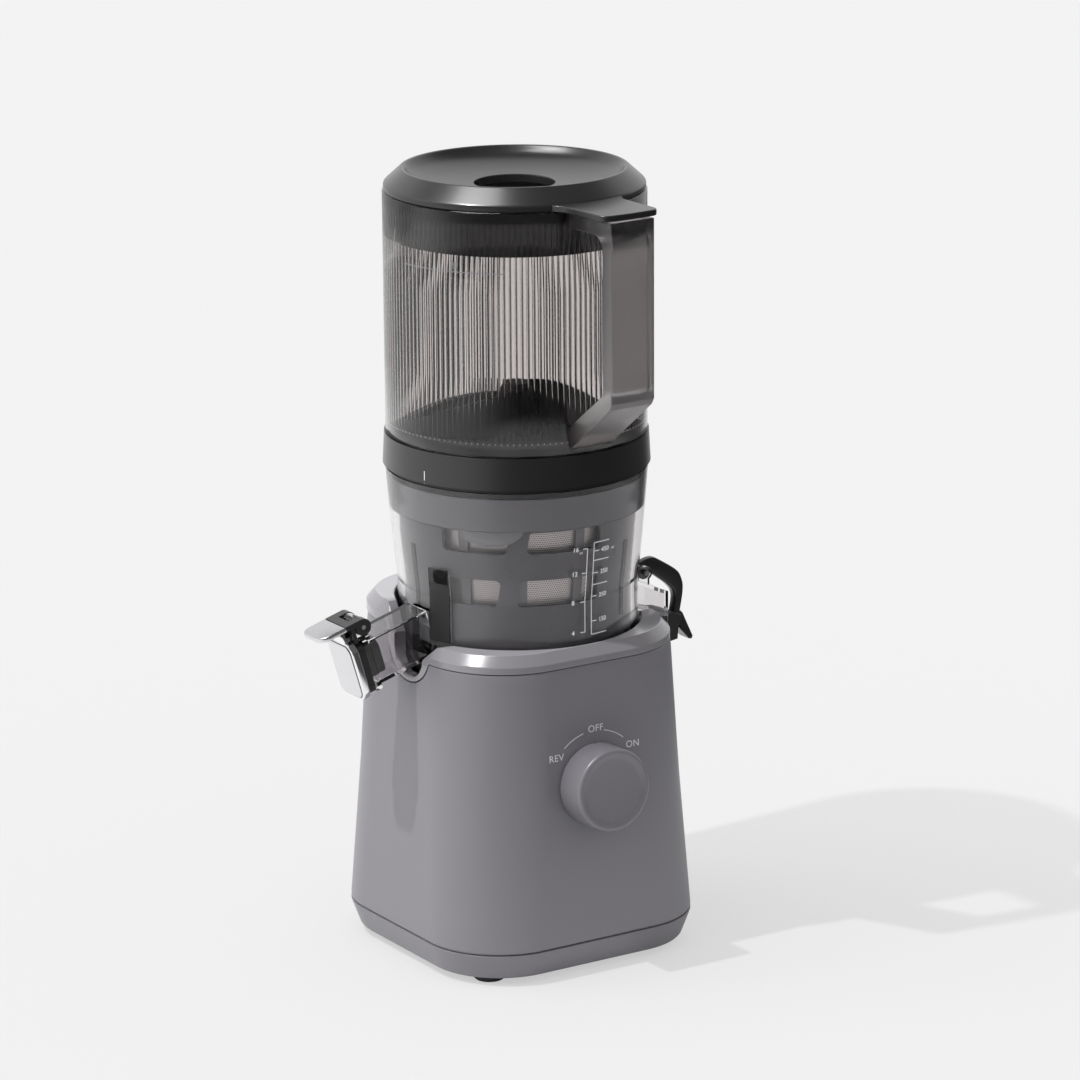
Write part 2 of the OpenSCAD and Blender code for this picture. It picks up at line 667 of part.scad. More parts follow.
module bowl() color(water_clear) difference() {
    union() {
        rotate_extrude() polygon(bowl_outline);
        at_spout() {
            spout_block(-4, spout_len, spout_w, -spout_h / 2, spout_h / 2);
            spout_block(spout_len - 4, spout_len, spout_w + 4, -spout_h / 2 - 2, spout_h / 2 + 2);
            // lug for the cap's hinge pin
            translate([-cap_pivot[0], 0, cap_pivot[1]]) rotate([90, 0, 0])
                cylinder(r = knuckle_r - 0.4, h = lug_w, center = true, $fn = 48);
            spout_block(cap_pivot[0] - 4.5, cap_pivot[0] + 3, lug_w, spout_h / 2 - 1, cap_pivot[1]);
        }
        intersection() {
            side_plate(duct_shell, duct_w);
            duct_trough(duct_trough_r);
        }
        // ears for the gate's hinge pin
        for (s = [-1, 1]) translate([0, outlet_y + s * 6, 0]) {
            translate([gate_pivot[0], 0, gate_pivot[1]]) rotate([90, 0, 0])
                cylinder(r = 4, h = 3, center = true, $fn = 48);
            translate([bowl_r - 1, -1.5, floor_z + 13]) cube([gate_pivot[0] - bowl_r + 3, 3, 8]);
        }
    }
    // inside of the bowl, cut clear of what was added outside
    translate([0, 0, floor_z]) cylinder(r = bowl_r - bowl_wall, h = 40);
    at_spout() spout_block(-3, spout_len + 1, spout_w - 2 * duct_wall,
        -spout_h / 2 + duct_wall, spout_h / 2 - duct_wall);
    // juice port through the wall, above the floor
    intersection() {
        at_spout() spout_block(-9, 1, spout_w - 2 * duct_wall,
            -spout_h / 2 + duct_wall, spout_h / 2 - duct_wall);
        translate([-big / 2, -big / 2, floor_z]) cube([big, big, big]);
    }
    intersection() {
        side_plate(duct_hollow, duct_w - 2 * duct_wall);
        duct_trough(duct_trough_r - duct_wall);
    }
    side_plate(duct_pocket, duct_w - 2 * duct_wall);
    // pulp hole in the floor
    sector([[32, floor_z - floor_t - 1], [50, floor_z - floor_t - 1], [50, floor_z + 1], [32, floor_z + 1]],
        -17, 22);
    at_spout() translate([-cap_pivot[0], 0, cap_pivot[1]]) rotate([90, 0, 0])
        cylinder(r = cap_pin_r, h = 40, center = true, $fn = 32);
    translate([gate_pivot[0], outlet_y, gate_pivot[1]]) rotate([90, 0, 0])
        cylinder(r = gate_pin_r, h = 40, center = true, $fn = 32);
    translate([0, wiper_idler_at, floor_z - 2]) cylinder(r = idler_pin_r, h = 5, $fn = 32);
    seal_sector(0.05);
}

module bowl_seal() color(satin_black) translate([0, 0, deck_z + 4.2]) rotate_extrude()
    polygon([[neck_r + 0.35, 0], [boss_r - 0.05, 0], [boss_r - 0.05, 5], [neck_r + 1.2, 5],
             [neck_r + 0.35, 2]]);

module spout_seal() color(satin_black) intersection() {
    seal_sector(0);
    cylinder(r = bowl_r + 0.6, h = big);
}

module cap_pin() color(steel) at_spout() translate([-cap_pivot[0], 0, cap_pivot[1]])
    rotate([90, 0, 0]) cylinder(r = cap_pin_r, h = 22.6, center = true, $fn = 32);

gate_pin_r = 1.5;
module gate_pin() color(steel) translate([gate_pivot[0], outlet_y, gate_pivot[1]])
    rotate([90, 0, 0]) cylinder(r = gate_pin_r, h = 16, center = true, $fn = 32);

// ---------- wiper drive ----------
sun_n = 18;
planet_n = 12;
ring_n = sun_n + 2 * planet_n;
gear_root = 1.2;
// The gears are as large as the ring inside the cage's wall allows
wiper_module = (cage_radius(floor_z) - cage_t - ring_rim) / (ring_n / 2 + gear_root);
wiper_idler_at = wiper_module * (sun_n + planet_n) / 2;
idler_pin_r = 2.5;
wiper_gear_t = 4.6;

module wiper_idler_pin() color(steel)
    translate([0, wiper_idler_at, floor_z - 2]) cylinder(r = idler_pin_r, h = wiper_gear_t + 2, $fn = 32);

module wiper_idler() color(nylon) translate([0, wiper_idler_at, floor_z + 0.4]) difference() {
    gear(wiper_module, planet_n, wiper_gear_t - 0.6, -90);
    translate([0, 0, -1]) cylinder(r = idler_pin_r + fit, h = 20, $fn = 32);
}

ring_root_r = wiper_module * (ring_n / 2 + gear_root);
cage_outline = concat(
    [[ring_root_r + 1, cage_z], [cage_radius(cage_z), cage_z]],
    [for (z = cage_levels) [cage_radius(z), z]],
    [[cage_radius(shelf_z) - 0.3, cage_top_z], [cage_radius(shelf_z) - cage_t - 0.3, cage_top_z]],
    [for (k = [len(cage_levels) - 1:-1:0]) [cage_radius(cage_levels[k]) - cage_t, cage_levels[k]]],
    [[cage_radius(cage_z) - cage_t, cage_z + 5], [ring_root_r + 1, cage_z + 5]]);

// Space between the cage's inner and outer faces over one band of heights
module band(low, high, a, sweep) sector([[bowl_r - 18, low], [bowl_r + 12, low], [bowl_r + 12, high],
    [bowl_r - 18, high]], a, sweep);

// Heights of the two rows of windows, and the turn of the first one
window_rows = [[floor_z + 28, floor_z + 43.5], [floor_z + 59, floor_z + 71.8]];
window_a = 200;
window_sweep = 80;
rib_top_a = 239;
rib_low_a = 231;
rib_w = 11;
rib_deep = 20;
rib_in = 13;
rib_low_z = floor_z + 20;

module slanted_rib() hull() {
    rotate(rib_low_a) translate([bowl_r - rib_in, -rib_w / 2, rib_low_z]) cube([rib_deep, rib_w, 1]);
    rotate(rib_top_a) translate([bowl_r - rib_in, -rib_w / 2, shelf_z]) cube([rib_deep, rib_w, 1]);
}

module wiper_cage() color(cage_grey) {
    difference() {
        rotate_extrude() polygon(cage_outline);
        for (k = [0:blades - 1], row = window_rows)
            band(row[0], row[1], window_a + k * 360 / blades, window_sweep);
        for (k = [0:blades - 1])
            sector(blade_slot, blade_a + k * 360 / blades - 0.1, blade_sweep + 0.2);
    }
    intersection() {
        rotate_extrude() polygon(cage_outline);
        for (k = [0:blades - 1]) rotate(k * 360 / blades) slanted_rib();
        translate([0, 0, rib_low_z]) cylinder(r = bowl_r + rib_in, h = 52.2);
    }
    // internal ring gear that the idler drives
    translate([0, 0, cage_z]) linear_extrude(5) difference() {
        circle(ring_root_r + 1.2);
        rotate(90) polygon(gear_points(wiper_module, ring_n, gear_root, 0.8, 0.03));
    }
}

// The blades run the height of the cage, from just off the bowl to just off the strainer
blade_a = window_a + window_sweep + 18;
blade_sweep = 3;
blade_low = floor_z + 14;
blade_levels = [cone_z, cone_z + 14, cone_z + 28];
function blade_outline(out, in) = concat(
    [[cage_radius(blade_low) + out, blade_low]],
    [for (z = blade_levels) [cage_radius(z) + out, z]],
    [for (k = [len(blade_levels) - 1:-1:0]) [cage_radius(blade_levels[k]) - cage_t - in, blade_levels[k]]],
    [[cage_radius(blade_low) - cage_t - in, blade_low]]);
blade_slot = blade_outline(3, 3);
module wiper_blades() color([0.3, 0.3, 0.31]) for (k = [0:blades - 1])
    sector(blade_outline(cage_gap - 0.35, cage_gap - 0.35), blade_a + k * 360 / blades, blade_sweep);

// ---------- strainer ----------
strainer_z = floor_z + 6;
strainer_t = 1.9;
mesh_t = 0.4;
frame_levels = [cone_z, cone_z + 14, cone_z + 28, shelf_z];
function frame_points(shift) = [for (z = frame_levels) [strainer_radius(z) + shift, z]];
function reversed(list) = [for (k = [len(list) - 1:-1:0]) list[k]];
flange_r = bowl_radius(shelf_z) - 2.6;
flange_top_z = bowl_rim_z - 4;
strainer_outline = concat(
    [[28, strainer_z], [strainer_radius(strainer_z), strainer_z]],
    frame_points(0),
    [[strainer_radius(shelf_z), cage_top_z + 1], [shelf_in_r - 0.2, cage_top_z + 1],
     [shelf_in_r - 0.2, shelf_z + seat_gap], [flange_r, shelf_z + seat_gap],
     [bowl_radius(flange_top_z) - 3.4, flange_top_z],
     [bowl_radius(flange_top_z) - 5.6, flange_top_z], [flange_r - 3, cage_top_z + 5],
     [strainer_radius(shelf_z) - strainer_t, cage_top_z + 2.6]],
    reversed(frame_points(-strainer_t)),
    [[strainer_radius(strainer_z) - strainer_t, strainer_z + 2.4], [28, strainer_z + 2.4]]);

module strainer_frame() color(cage_grey) difference() {
    rotate_extrude() polygon(strainer_outline);
    // open panels between the ribs
    for (k = [0:strainer_ribs - 1])
        band(strainer_z + 7, shelf_z - 2, k * 360 / strainer_ribs + 2.5, 360 / strainer_ribs - 5);
    // pulp hole over the one in the bowl
    sector([[33, strainer_z - 1], [50, strainer_z - 1], [50, strainer_z + 4], [33, strainer_z + 4]], -16, 20);
}

mesh_outline = concat(
    [[strainer_radius(strainer_z) - strainer_t - fit, strainer_z + 3]],
    frame_points(-strainer_t - fit),
    reversed(frame_points(-strainer_t - fit - mesh_t)),
    [[strainer_radius(strainer_z) - strainer_t - fit - mesh_t, strainer_z + 3]]);
module strainer_mesh() color(steel) rotate_extrude() polygon(mesh_outline);

// ---------- auger ----------
auger_z = strainer_z + 3;
auger_r = strainer_radius(strainer_z) - strainer_t - mesh_t - auger_gap;
sun_root_r = wiper_module * (sun_n / 2 - gear_root);
auger_top_z = shelf_z + 5;
neck_r = 10.5;
pin_r = 6;
auger_pin_z = hopper_z + 1;
auger_dog_z = hopper_z + 13;
sun_bore_r = 8.5;
foot_edge = 3;
core_tip_r = 11;
// Taper of the core as [r, height above the foot's underside]
core_taper = [[47, 5], [38, 14], [27, 28], [19, 44], [14, 58]];
// Core of the auger as [r, z]: a broad foot that narrows to the pivot pin
core_outline = concat([
    [sun_bore_r, deck_z + 4.5], [neck_r, deck_z + 4.5], [neck_r, cage_z],
    [sun_root_r - 0.3, cage_z], [sun_root_r - 0.3, auger_z],
    [auger_r - 1, auger_z], [auger_r - 1, auger_z + foot_edge]],
    [for (p = core_taper) [p[0], auger_z + p[1]]], [
    [core_tip_r, auger_top_z], [pin_r, auger_top_z + 3], [pin_r, auger_pin_z], [0, auger_pin_z],
    [0, hex_top_z + 1], [sun_bore_r, hex_top_z + 1]
]);
function core_radius(z) = lookup(z, concat([[auger_z + foot_edge, auger_r - 1]],
    [for (p = core_taper) [auger_z + p[1], p[0]]], [[auger_top_z, core_tip_r]]));

// One screw flight: a blade that winds up the core and thins towards its edge
flight_steps = 36;
flight_turn = 300;
flight_low = auger_z + 4;
flight_high = auger_top_z - 5;
function flight_r(z) = min(auger_r, strainer_radius(z) - strainer_t - mesh_t - 1.2);
function flight_ring(k) = let (
    t = k / flight_steps, a = flight_turn * t, z = flight_low + (flight_high - flight_low) * t,
    grow = min(1, 5 * t, 5 * (1 - t) + 0.15), in = core_radius(z + 3.4) - 1.5,
    out = in + (flight_r(z) - in) * max(0.15, grow))
    [for (p = [[in, -3.2], [out, -1.2], [out, 1.2], [in, 3.2]])
        [p[0] * cos(a), p[0] * sin(a), z + p[1]]];
function split_quad(a, b, c, d) = [[a, b, c], [a, c, d]];
module flight() polyhedron(
    points = [for (k = [0:flight_steps]) each flight_ring(k)],
    faces = concat(
        [[3, 2, 1, 0]],
        [for (k = [0:flight_steps - 1], j = [0:3]) each split_quad(
            4 * k + j, 4 * k + (j + 1) % 4, 4 * (k + 1) + (j + 1) % 4, 4 * (k + 1) + j)],
        [[for (j = [0:3]) 4 * flight_steps + j]]),
    convexity = 8);

module auger() color(cage_grey) {
    rotate_extrude() polygon(core_outline);
    for (k = [0:flights - 1]) rotate(k * 360 / flights + 200) flight();
    // sun gear that turns the wiper idler
    translate([0, 0, floor_z + 0.4]) linear_extrude(wiper_gear_t - 0.6) difference() {
        rotate(90 + 180 / sun_n) polygon(gear_points(wiper_module, sun_n, in = gear_root));
        circle(neck_r - 0.5);
    }
    // hexagonal dog that drives the cutter
    translate([0, 0, auger_pin_z - 0.1]) linear_extrude(auger_dog_z - auger_pin_z)
        circle(dog_flats / sqrt(3), $fn = 6);
}
dog_flats = 8;

// Steel sleeve with a hexagonal bore, pressed into the auger
module auger_socket() color(steel) translate([0, 0, deck_z + 4.5])
    linear_extrude(hex_top_z - deck_z - 3.6) difference() {
        circle(sun_bore_r - 0.02);
        circle((hex_flats + 0.3) / sqrt(3), $fn = 6);
    }

// ---------- spout cap ----------
plate_t = 5.4;
gasket_t = 4.1;
plate_from = spout_len + joint_gap + gasket_t;
tongue_top = cap_pivot[1] + knuckle_r;
tongue_t = 3;
tongue_w = 23;
tongue_len = 20;

// A rounded rectangle across the spout, centred a little below its axis
module cap_panel(from, to, w, h, r, up = -0.5) translate([-to, 0, up]) rotate([90, 0, 90])
    linear_extrude(to - from) {
        square([w, h - 2 * r], center = true);
        square([w - 2 * r, h], center = true);
        for (sx = [-1, 1], sy = [-1, 1])
            translate([sx * (w / 2 - r), sy * (h / 2 - r)]) circle(r, $fn = 48);
    }

module cap_plate() color(chrome) at_spout() {
    cap_panel(plate_from, plate_from + plate_t, cap_w, cap_h, 6);
    // neck up to the finger tongue
    spout_block(plate_from, plate_from + plate_t, 16, cap_h / 2 - 2, tongue_top - tongue_t);
    spout_block(plate_from + 2.8, plate_from + plate_t, 16, cap_h / 2, tongue_top - 0.5);
    // tongue with round corners
    translate([-plate_from, 0, tongue_top - tongue_t]) linear_extrude(tongue_t) {
        translate([-tongue_len + 6, -tongue_w / 2]) square([tongue_len - 8.8, tongue_w]);
        translate([-tongue_len, -tongue_w / 2 + 6]) square([12, tongue_w - 12]);
        for (side = [-1, 1]) translate([-tongue_len + 6, side * (tongue_w / 2 - 6)]) circle(6, $fn = 48);
    }
}

module cap_lever() color(satin_black) at_spout() difference() {
    union() {
        for (s = [-1, 1]) translate([-cap_pivot[0], s * (lug_w / 2 + 0.4 + 2.8), cap_pivot[1]])
            rotate([90, 0, 0]) cylinder(r = knuckle_r, h = 5.6, center = true, $fn = 48);
        for (s = [-1, 1]) translate([0, s * (lug_w / 2 + 0.4 + 2.8), 0])
            spout_block(cap_pivot[0], plate_from + 2.8, 5.6, tongue_top - tongue_t, tongue_top);
        spout_block(cap_pivot[0] + knuckle_r + 0.5, plate_from + 2.8, lug_w + 12,
            tongue_top - tongue_t, tongue_top);
        // web behind the plate
        spout_block(cap_pivot[0] + knuckle_r + 0.6, plate_from, lug_w + 12,
            cap_h / 2 - 2.2, tongue_top - eps);
    }
    translate([-cap_pivot[0], 0, cap_pivot[1]]) rotate([90, 0, 0])
        cylinder(r = cap_pin_r + fit, h = 40, center = true, $fn = 32);
}

module cap_plug() color(satin_black) at_spout() {
    cap_panel(spout_len + joint_gap, plate_from, cap_w - 2, cap_h - 5, 5, -1);
    cap_panel(spout_len - 11, spout_len + joint_gap + eps, spout_w - 2 * duct_wall - 1.6, 20, 4, 0);
}

// ---------- pulp gate ----------
gx = gate_pivot[0];
gz = gate_pivot[1];
// The bent lever in side view: over the duct, down to the stopper
lever_outline = [
    [gx - 3, gz - 3], [gx + 4, gz - 1], [gx + 12, gz - 6], [gx + 20, gz - 12.5], [gx + 23, gz - 18],
    [gx + 22, gz - 27], [gx + 20, gz - 36.5], [gx + 24.5, gz - 36.5], [gx + 27, gz - 27], [gx + 29, gz - 15],
    [gx + 27.8, gz - 8], [gx + 24, gz - 2.5], [gx + 12.5, gz + 5], [gx + 8, gz + 7], [gx + 2, gz + 6],
    [gx - 3, gz + 3]
];
stopper_x = duct_reach + joint_gap;
stopper_outline = [
    [stopper_x, floor_z - 22.5], [stopper_x + 7, floor_z - 21.5], [gx + 20, gz - 34],
    [gx + 22, gz - 27.5], [stopper_x + 4, floor_z - 5.5], [stopper_x, floor_z - 5]
];
// Finger tab that widens downwards
tab_outline = [[gx + 25.5, gz - 27], [gx + 28.5, gz - 28.5], [gx + 34.5, gz - 44.5], [gx + 32, gz - 45.5],
    [gx + 23, gz - 35.5]];

module gate_lever() color(satin_black) difference() {
    union() {
        side_plate(lever_outline, 5.6);
        translate([gx, outlet_y, gz]) rotate([90, 0, 0]) cylinder(r = 4.2, h = 8.6, center = true, $fn = 48);
        hull() {
            side_plate([tab_outline[0], tab_outline[1], tab_outline[4]], 5);
            side_plate([tab_outline[2], tab_outline[3], tab_outline[4]], 11);
        }
    }
    translate([gx, outlet_y, gz]) rotate([90, 0, 0])
        cylinder(r = gate_pin_r + fit, h = 40, center = true, $fn = 32);
}

module gate_stopper() color(satin_black) difference() {
    side_plate(stopper_outline, duct_w - 2);
    side_plate(lever_outline, 5.7);
}

// ---------- hopper ----------
hopper_in_r = hopper_r - hopper_wall;
module at_hopper() rotate(hopper_turn) children();

// Inner outline of the hopper: shallow flutes between sharp ridges
function flute_points(n, r, depth) = [for (k = [0:n - 1], j = [0:1])
    (r + depth * j) * [cos(360 / n * (k + j / 2)), sin(360 / n * (k + j / 2))]];

flute_z = hopper_z + 7.5;
grip_in = handle_reach - grip_t;
arm_z = hopper_top_z - 0.6 - arm_t;
foot_z = hopper_z + 3.4;
elbow_z = foot_z + (handle_reach - hopper_r) * 0.8;
// Corner rounding of a polygon: an arc of radius r about c from angle a to b
function arc(c, r, a, b, n = 5) = [for (k = [0:n]) let (t = a + (b - a) * k / n) c + r * [cos(t), sin(t)]];
handle_outline = concat(
    [[hopper_r - 1, foot_z], [handle_reach - 2, elbow_z - 1.6]],
    arc([handle_reach - 3, elbow_z + 2], 3, -40, 0, 3),
    [[handle_reach, hopper_top_z - 0.6], [hopper_r - 1, hopper_top_z - 0.6]]);
finger_outline = concat(
    [[hopper_r + 3.5, foot_z + 16]],
    arc([grip_in - 8, elbow_z + 10], 8, -55, 0),
    arc([grip_in - 10, arm_z - 10], 10, 0, 90),
    arc([hopper_r + 3.5, arm_z - 4], 4, 90, 180, 3),
    [[hopper_r - 0.5, foot_z + 22]]);

module front_plate(outline, width) rotate([90, 0, -90]) linear_extrude(width, center = true) polygon(outline);

module hopper() color(smoke) at_hopper() difference() {
    union() {
        translate([0, 0, hopper_z]) cylinder(r = hopper_r, h = hopper_top_z - hopper_z);
        difference() {
            front_plate(handle_outline, handle_w);
            front_plate(finger_outline, handle_w + 1);
            // hollow core of the grip, open below
            translate([-handle_w / 2 + 4.5, -handle_reach + 1.8, foot_z])
                cube([handle_w - 9, grip_t - 3.6, hopper_top_z - foot_z - arm_t]);
        }
    }
    translate([0, 0, hopper_z - 1]) cylinder(r = hopper_in_r - 0.15, h = flute_z - hopper_z + 2);
    translate([0, 0, flute_z]) linear_extrude(hopper_top_z)
        polygon(flute_points(flutes, hopper_in_r, flute_depth));
}

ring_top_r = hopper_r + 0.7;
base_floor_z = hopper_z + 3.4;
spigot_r = bowl_rim_r - 3.6;
throat_r = hopper_in_r - 10.6;
hub_r = 9;
base_outline = [
    [ring_r, bowl_rim_z + 2.1], [ring_top_r, hopper_z], [hopper_in_r - 0.3, hopper_z],
    [hopper_in_r - 0.3, hopper_z + 7], [hopper_in_r - 2.4, hopper_z + 7], [hopper_in_r - 5, base_floor_z],
    [hub_r, base_floor_z], [hub_r, hopper_z - 4], [hub_r + 3.5, hopper_z - 4], [hub_r + 3.5, hopper_z - 0.5],
    [spigot_r - 2.4, hopper_z - 0.5], [spigot_r - 2.4, flange_top_z + 0.8], [spigot_r, flange_top_z + 0.8],
    [spigot_r, bowl_rim_z + 2.1]
];
module hopper_base() color(satin_black) at_hopper() difference() {
    rotate_extrude() polygon(base_outline);
    // throat that the cut food falls through
    sector([[20, hopper_z - 3], [throat_r, hopper_z - 3], [throat_r, base_floor_z + 1],
        [20, base_floor_z + 1]], 50, 110);
}

module hopper_gasket() color([0.05, 0.05, 0.05]) at_hopper() translate([0, 0, bowl_rim_z + seat_gap])
    difference() {
        cylinder(r = bowl_rim_r - 0.8, h = 2.1 - seat_gap);
        translate([0, 0, -1]) cylinder(r = spigot_r + 0.1, h = 5);
    }

bush_out_r = hub_r - 0.02;
module cutter_bush() color(nylon) at_hopper() translate([0, 0, hopper_z - 4]) difference() {
    cylinder(r = bush_out_r, h = base_floor_z - hopper_z + 4);
    translate([0, 0, -1]) cylinder(r = pin_r + fit, h = 20);
}

// ---------- cutter ----------
cutter_z = base_floor_z + joint_gap;
cutter_h = 23;
wing_steps = 9;
wing_reach = hopper_in_r - 10;
// The wing sweeps back as it leaves the hub and gets lower
function wing_at(t) = let (a = 225 - 75 * t, r = 8 + (wing_reach - 8) * t) r * [cos(a), sin(a)];
function wing_rise(t) = cutter_h * (1 - 0.7 * t * t) - 2;
function wing_ring(k) = let (t = k / wing_steps, p = wing_at(t),
    q = wing_at(t + 0.01) - p, side = [-q[1], q[0]] / norm(q), w = 2.4 - 1 * t)
    [for (c = [[-w, 0], [w, 0], [w * 0.5, wing_rise(t)], [-w * 0.5, wing_rise(t)]])
        [p[0] + side[0] * c[0], p[1] + side[1] * c[0], cutter_z + c[1]]];
module wing() polyhedron(
    points = [for (k = [0:wing_steps]) each wing_ring(k)],
    faces = concat(
        [[0, 1, 2, 3]],
        [for (k = [0:wing_steps - 1], j = [0:3]) each split_quad(
            4 * k + (j + 1) % 4, 4 * k + j, 4 * (k + 1) + j, 4 * (k + 1) + (j + 1) % 4)],
        [[for (j = [3:-1:0]) 4 * wing_steps + j]]),
    convexity = 4);

module cutter() color(cage_grey) difference() {
    union() {
        translate([0, 0, cutter_z]) rotate_extrude()
            polygon([[0, 0], [16, 0], [16, 3], [11, 9], [9, cutter_h - 3], [7, cutter_h], [0, cutter_h]]);
        for (a = [0, 180]) rotate(a) wing();
    }
    translate([0, 0, cutter_z - 1]) linear_extrude(auger_dog_z - cutter_z + 1.5)
        circle((dog_flats + 0.3) / sqrt(3), $fn = 6);
}

// ---------- lid ----------
lid_z = hopper_top_z;
lid_top_z = lid_z + lid_h;
lid_edge_r = hopper_r - 0.7;
lid_wall_h = 3.2;
dish_z = lid_z + 4.7;
lip_z = lid_z + 3;
lid_outline = [
    [lid_hole_r, lip_z - 4.5], [lid_hole_r, lip_z - 0.7], [lid_hole_r + 0.7, lip_z], [lid_hole_r + 3, lip_z],
    [lid_rim_r - 16, dish_z], [lid_rim_r - 6, dish_z + 3.6], [lid_rim_r - 2.4, lid_top_z - 0.6],
    [lid_rim_r - 1.6, lid_top_z], [lid_rim_r - 0.3, lid_top_z], [lid_edge_r - 0.6, lid_z + lid_wall_h + 0.6],
    [lid_edge_r, lid_z + lid_wall_h], [lid_edge_r, lid_z + seat_gap], [lid_edge_r - 8, lid_z + seat_gap],
    [lid_rim_r - 2, dish_z - 0.8], [lid_rim_r - 14, dish_z - 3], [lid_hole_r + 2.6, lip_z - 2.8],
    [lid_hole_r + 2.6, lip_z - 4.5]
];

tab_reach = handle_reach - 0.5;
tab_root_w = tab_w + 8;
tab_corner = 6;
// Plan of the tab: it flares into the lid's edge and has round front corners
module tab_plan() difference() {
    union() {
        translate([-tab_w / 2, -tab_reach + tab_corner]) square([tab_w, tab_reach - hopper_r + 6]);
        translate([-tab_w / 2 + tab_corner, -tab_reach]) square([tab_w - 2 * tab_corner, 2 * tab_corner]);
        for (s = [-1, 1]) translate([s * (tab_w / 2 - tab_corner), -tab_reach + tab_corner])
            circle(tab_corner, $fn = 48);
        for (s = [-1, 1]) polygon([[0, -hopper_r + 6], [s * tab_root_w / 2, -hopper_r + 6],
            [s * tab_root_w / 2, -hopper_r + 3.2], [s * (tab_w / 2 + 1), -hopper_r - 6],
            [s * tab_w / 2, -hopper_r - 12], [0, -hopper_r - 12]]);
    }
    circle(lid_edge_r - 4);
}

module lid() color(satin_black) at_hopper() {
    rotate_extrude() polygon(lid_outline);
    difference() {
        translate([0, 0, lid_z + seat_gap]) linear_extrude(tab_t) tab_plan();
        translate([0, 0, lid_z - 1]) cylinder(r = lid_edge_r - 1.5, h = 4);
    }
    // ears that snap over the handle's arm
    for (s = [-1, 1]) translate([s * (handle_w / 2 + 1.4), -hopper_r - 20, lid_z + 1]) {
        translate([-1, -8, -4.5]) cube([2, 16, 4.6]);
        translate([s * 0.6, 0, -2.6]) rotate([0, 90, 0]) cylinder(r = 1.6, h = 1.6, center = true, $fn = 32);
    }
}

module lid_skirt() color(satin_black) at_hopper() translate([0, 0, lid_z + seat_gap - skirt_h - eps])
    difference() {
        cylinder(r = hopper_in_r - 0.6, h = skirt_h);
        translate([0, 0, -1]) cylinder(r = hopper_in_r - 2.8, h = skirt_h + 2);
    }

plinth();
housing();
top_cover();
well_deck();
feet();
plinth_screws();
motor_mounts();
motor_stator();
gearbox_case();
gearbox_lid();
gearbox_screws();
idler_pin();
output_bush();
control_board();
rotary_switch();
cord_gland();
bowl_sensor();
knob();
knob_spindle();
motor_shaft();
motor_rotor();
cooling_fan();
motor_pinion();
reduction_gear();
drive_shaft();
output_gear();
bowl();
bowl_seal();
spout_seal();
cap_pin();
gate_pin();
wiper_idler_pin();
strainer_frame();
strainer_mesh();
wiper_cage();
wiper_blades();
wiper_idler();
auger();
auger_socket();
cap_plate();
cap_lever();
cap_plug();
gate_lever();
gate_stopper();
hopper();
hopper_base();
hopper_gasket();
cutter();
cutter_bush();
lid();
lid_skirt();
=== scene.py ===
import contextlib
import functools
import math

import bmesh
import bpy
from mathutils import Matrix, Vector


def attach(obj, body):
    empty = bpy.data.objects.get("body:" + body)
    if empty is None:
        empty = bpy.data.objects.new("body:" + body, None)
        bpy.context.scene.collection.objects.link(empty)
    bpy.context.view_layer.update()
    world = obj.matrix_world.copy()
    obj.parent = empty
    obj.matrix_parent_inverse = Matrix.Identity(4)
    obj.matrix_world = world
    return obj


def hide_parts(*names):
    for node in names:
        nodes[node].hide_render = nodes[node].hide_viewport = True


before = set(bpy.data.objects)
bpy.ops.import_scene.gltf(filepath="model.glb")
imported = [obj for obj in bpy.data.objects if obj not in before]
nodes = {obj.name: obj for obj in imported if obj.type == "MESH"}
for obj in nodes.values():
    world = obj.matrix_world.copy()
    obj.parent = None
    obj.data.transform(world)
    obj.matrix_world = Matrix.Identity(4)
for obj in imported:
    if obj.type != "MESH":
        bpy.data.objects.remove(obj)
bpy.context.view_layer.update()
mm = 0.001


def toLinear(hexColour):
    value = [int(hexColour[k:k + 2], 16) / 255 for k in (1, 3, 5)]
    return tuple(v / 12.92 if v <= 0.04045 else ((v + 0.055) / 1.055) ** 2.4 for v in value) + (1.0,)


def addNode(tree, kind, settings=None, inputs=None):
    # settings are the node's own options; inputs are values, sockets to link from, or nodes with one main output
    made = tree.nodes.new(kind)
    for key, value in (settings or {}).items():
        setattr(made, key, value)
    for key, value in (inputs or {}).items():
        if isinstance(value, bpy.types.Node):
            value = value.outputs[0]
        if isinstance(value, bpy.types.NodeSocket):
            tree.links.new(value, made.inputs[key])
        else:
            made.inputs[key].default_value = value
    return made


def newMaterial(name):
    # the material, its tree and the object's own coordinates
    material = bpy.data.materials.new(name)
    material.use_nodes = True
    tree = material.node_tree
    tree.nodes.clear()
    return material, tree, addNode(tree, "ShaderNodeTexCoord").outputs["Object"]


def finishMaterial(material, shader):
    addNode(material.node_tree, "ShaderNodeOutputMaterial", inputs={"Surface": shader})
    return material


def inRelief(material, height, strength, depth, inputs):
    # a principled surface with a fine relief; depth is in millimetres
    relief = addNode(material.node_tree, "ShaderNodeBump", inputs={
        "Height": height, "Strength": strength, "Distance": depth * mm})
    shader = addNode(material.node_tree, "ShaderNodeBsdfPrincipled", inputs={**inputs, "Normal": relief})
    return finishMaterial(material, shader)


def addObject(name, data):
    made = bpy.data.objects.new(name, data)
    bpy.context.scene.collection.objects.link(made)
    return made


def shift(x, y, z):
    # a move by millimetres
    return Matrix.Translation((x * mm, y * mm, z * mm))


def rotate(degrees, axis):
    return Matrix.Rotation(math.radians(degrees), 4, axis)


def polar(r, degrees):
    a = math.radians(degrees)
    return r * math.cos(a), r * math.sin(a)


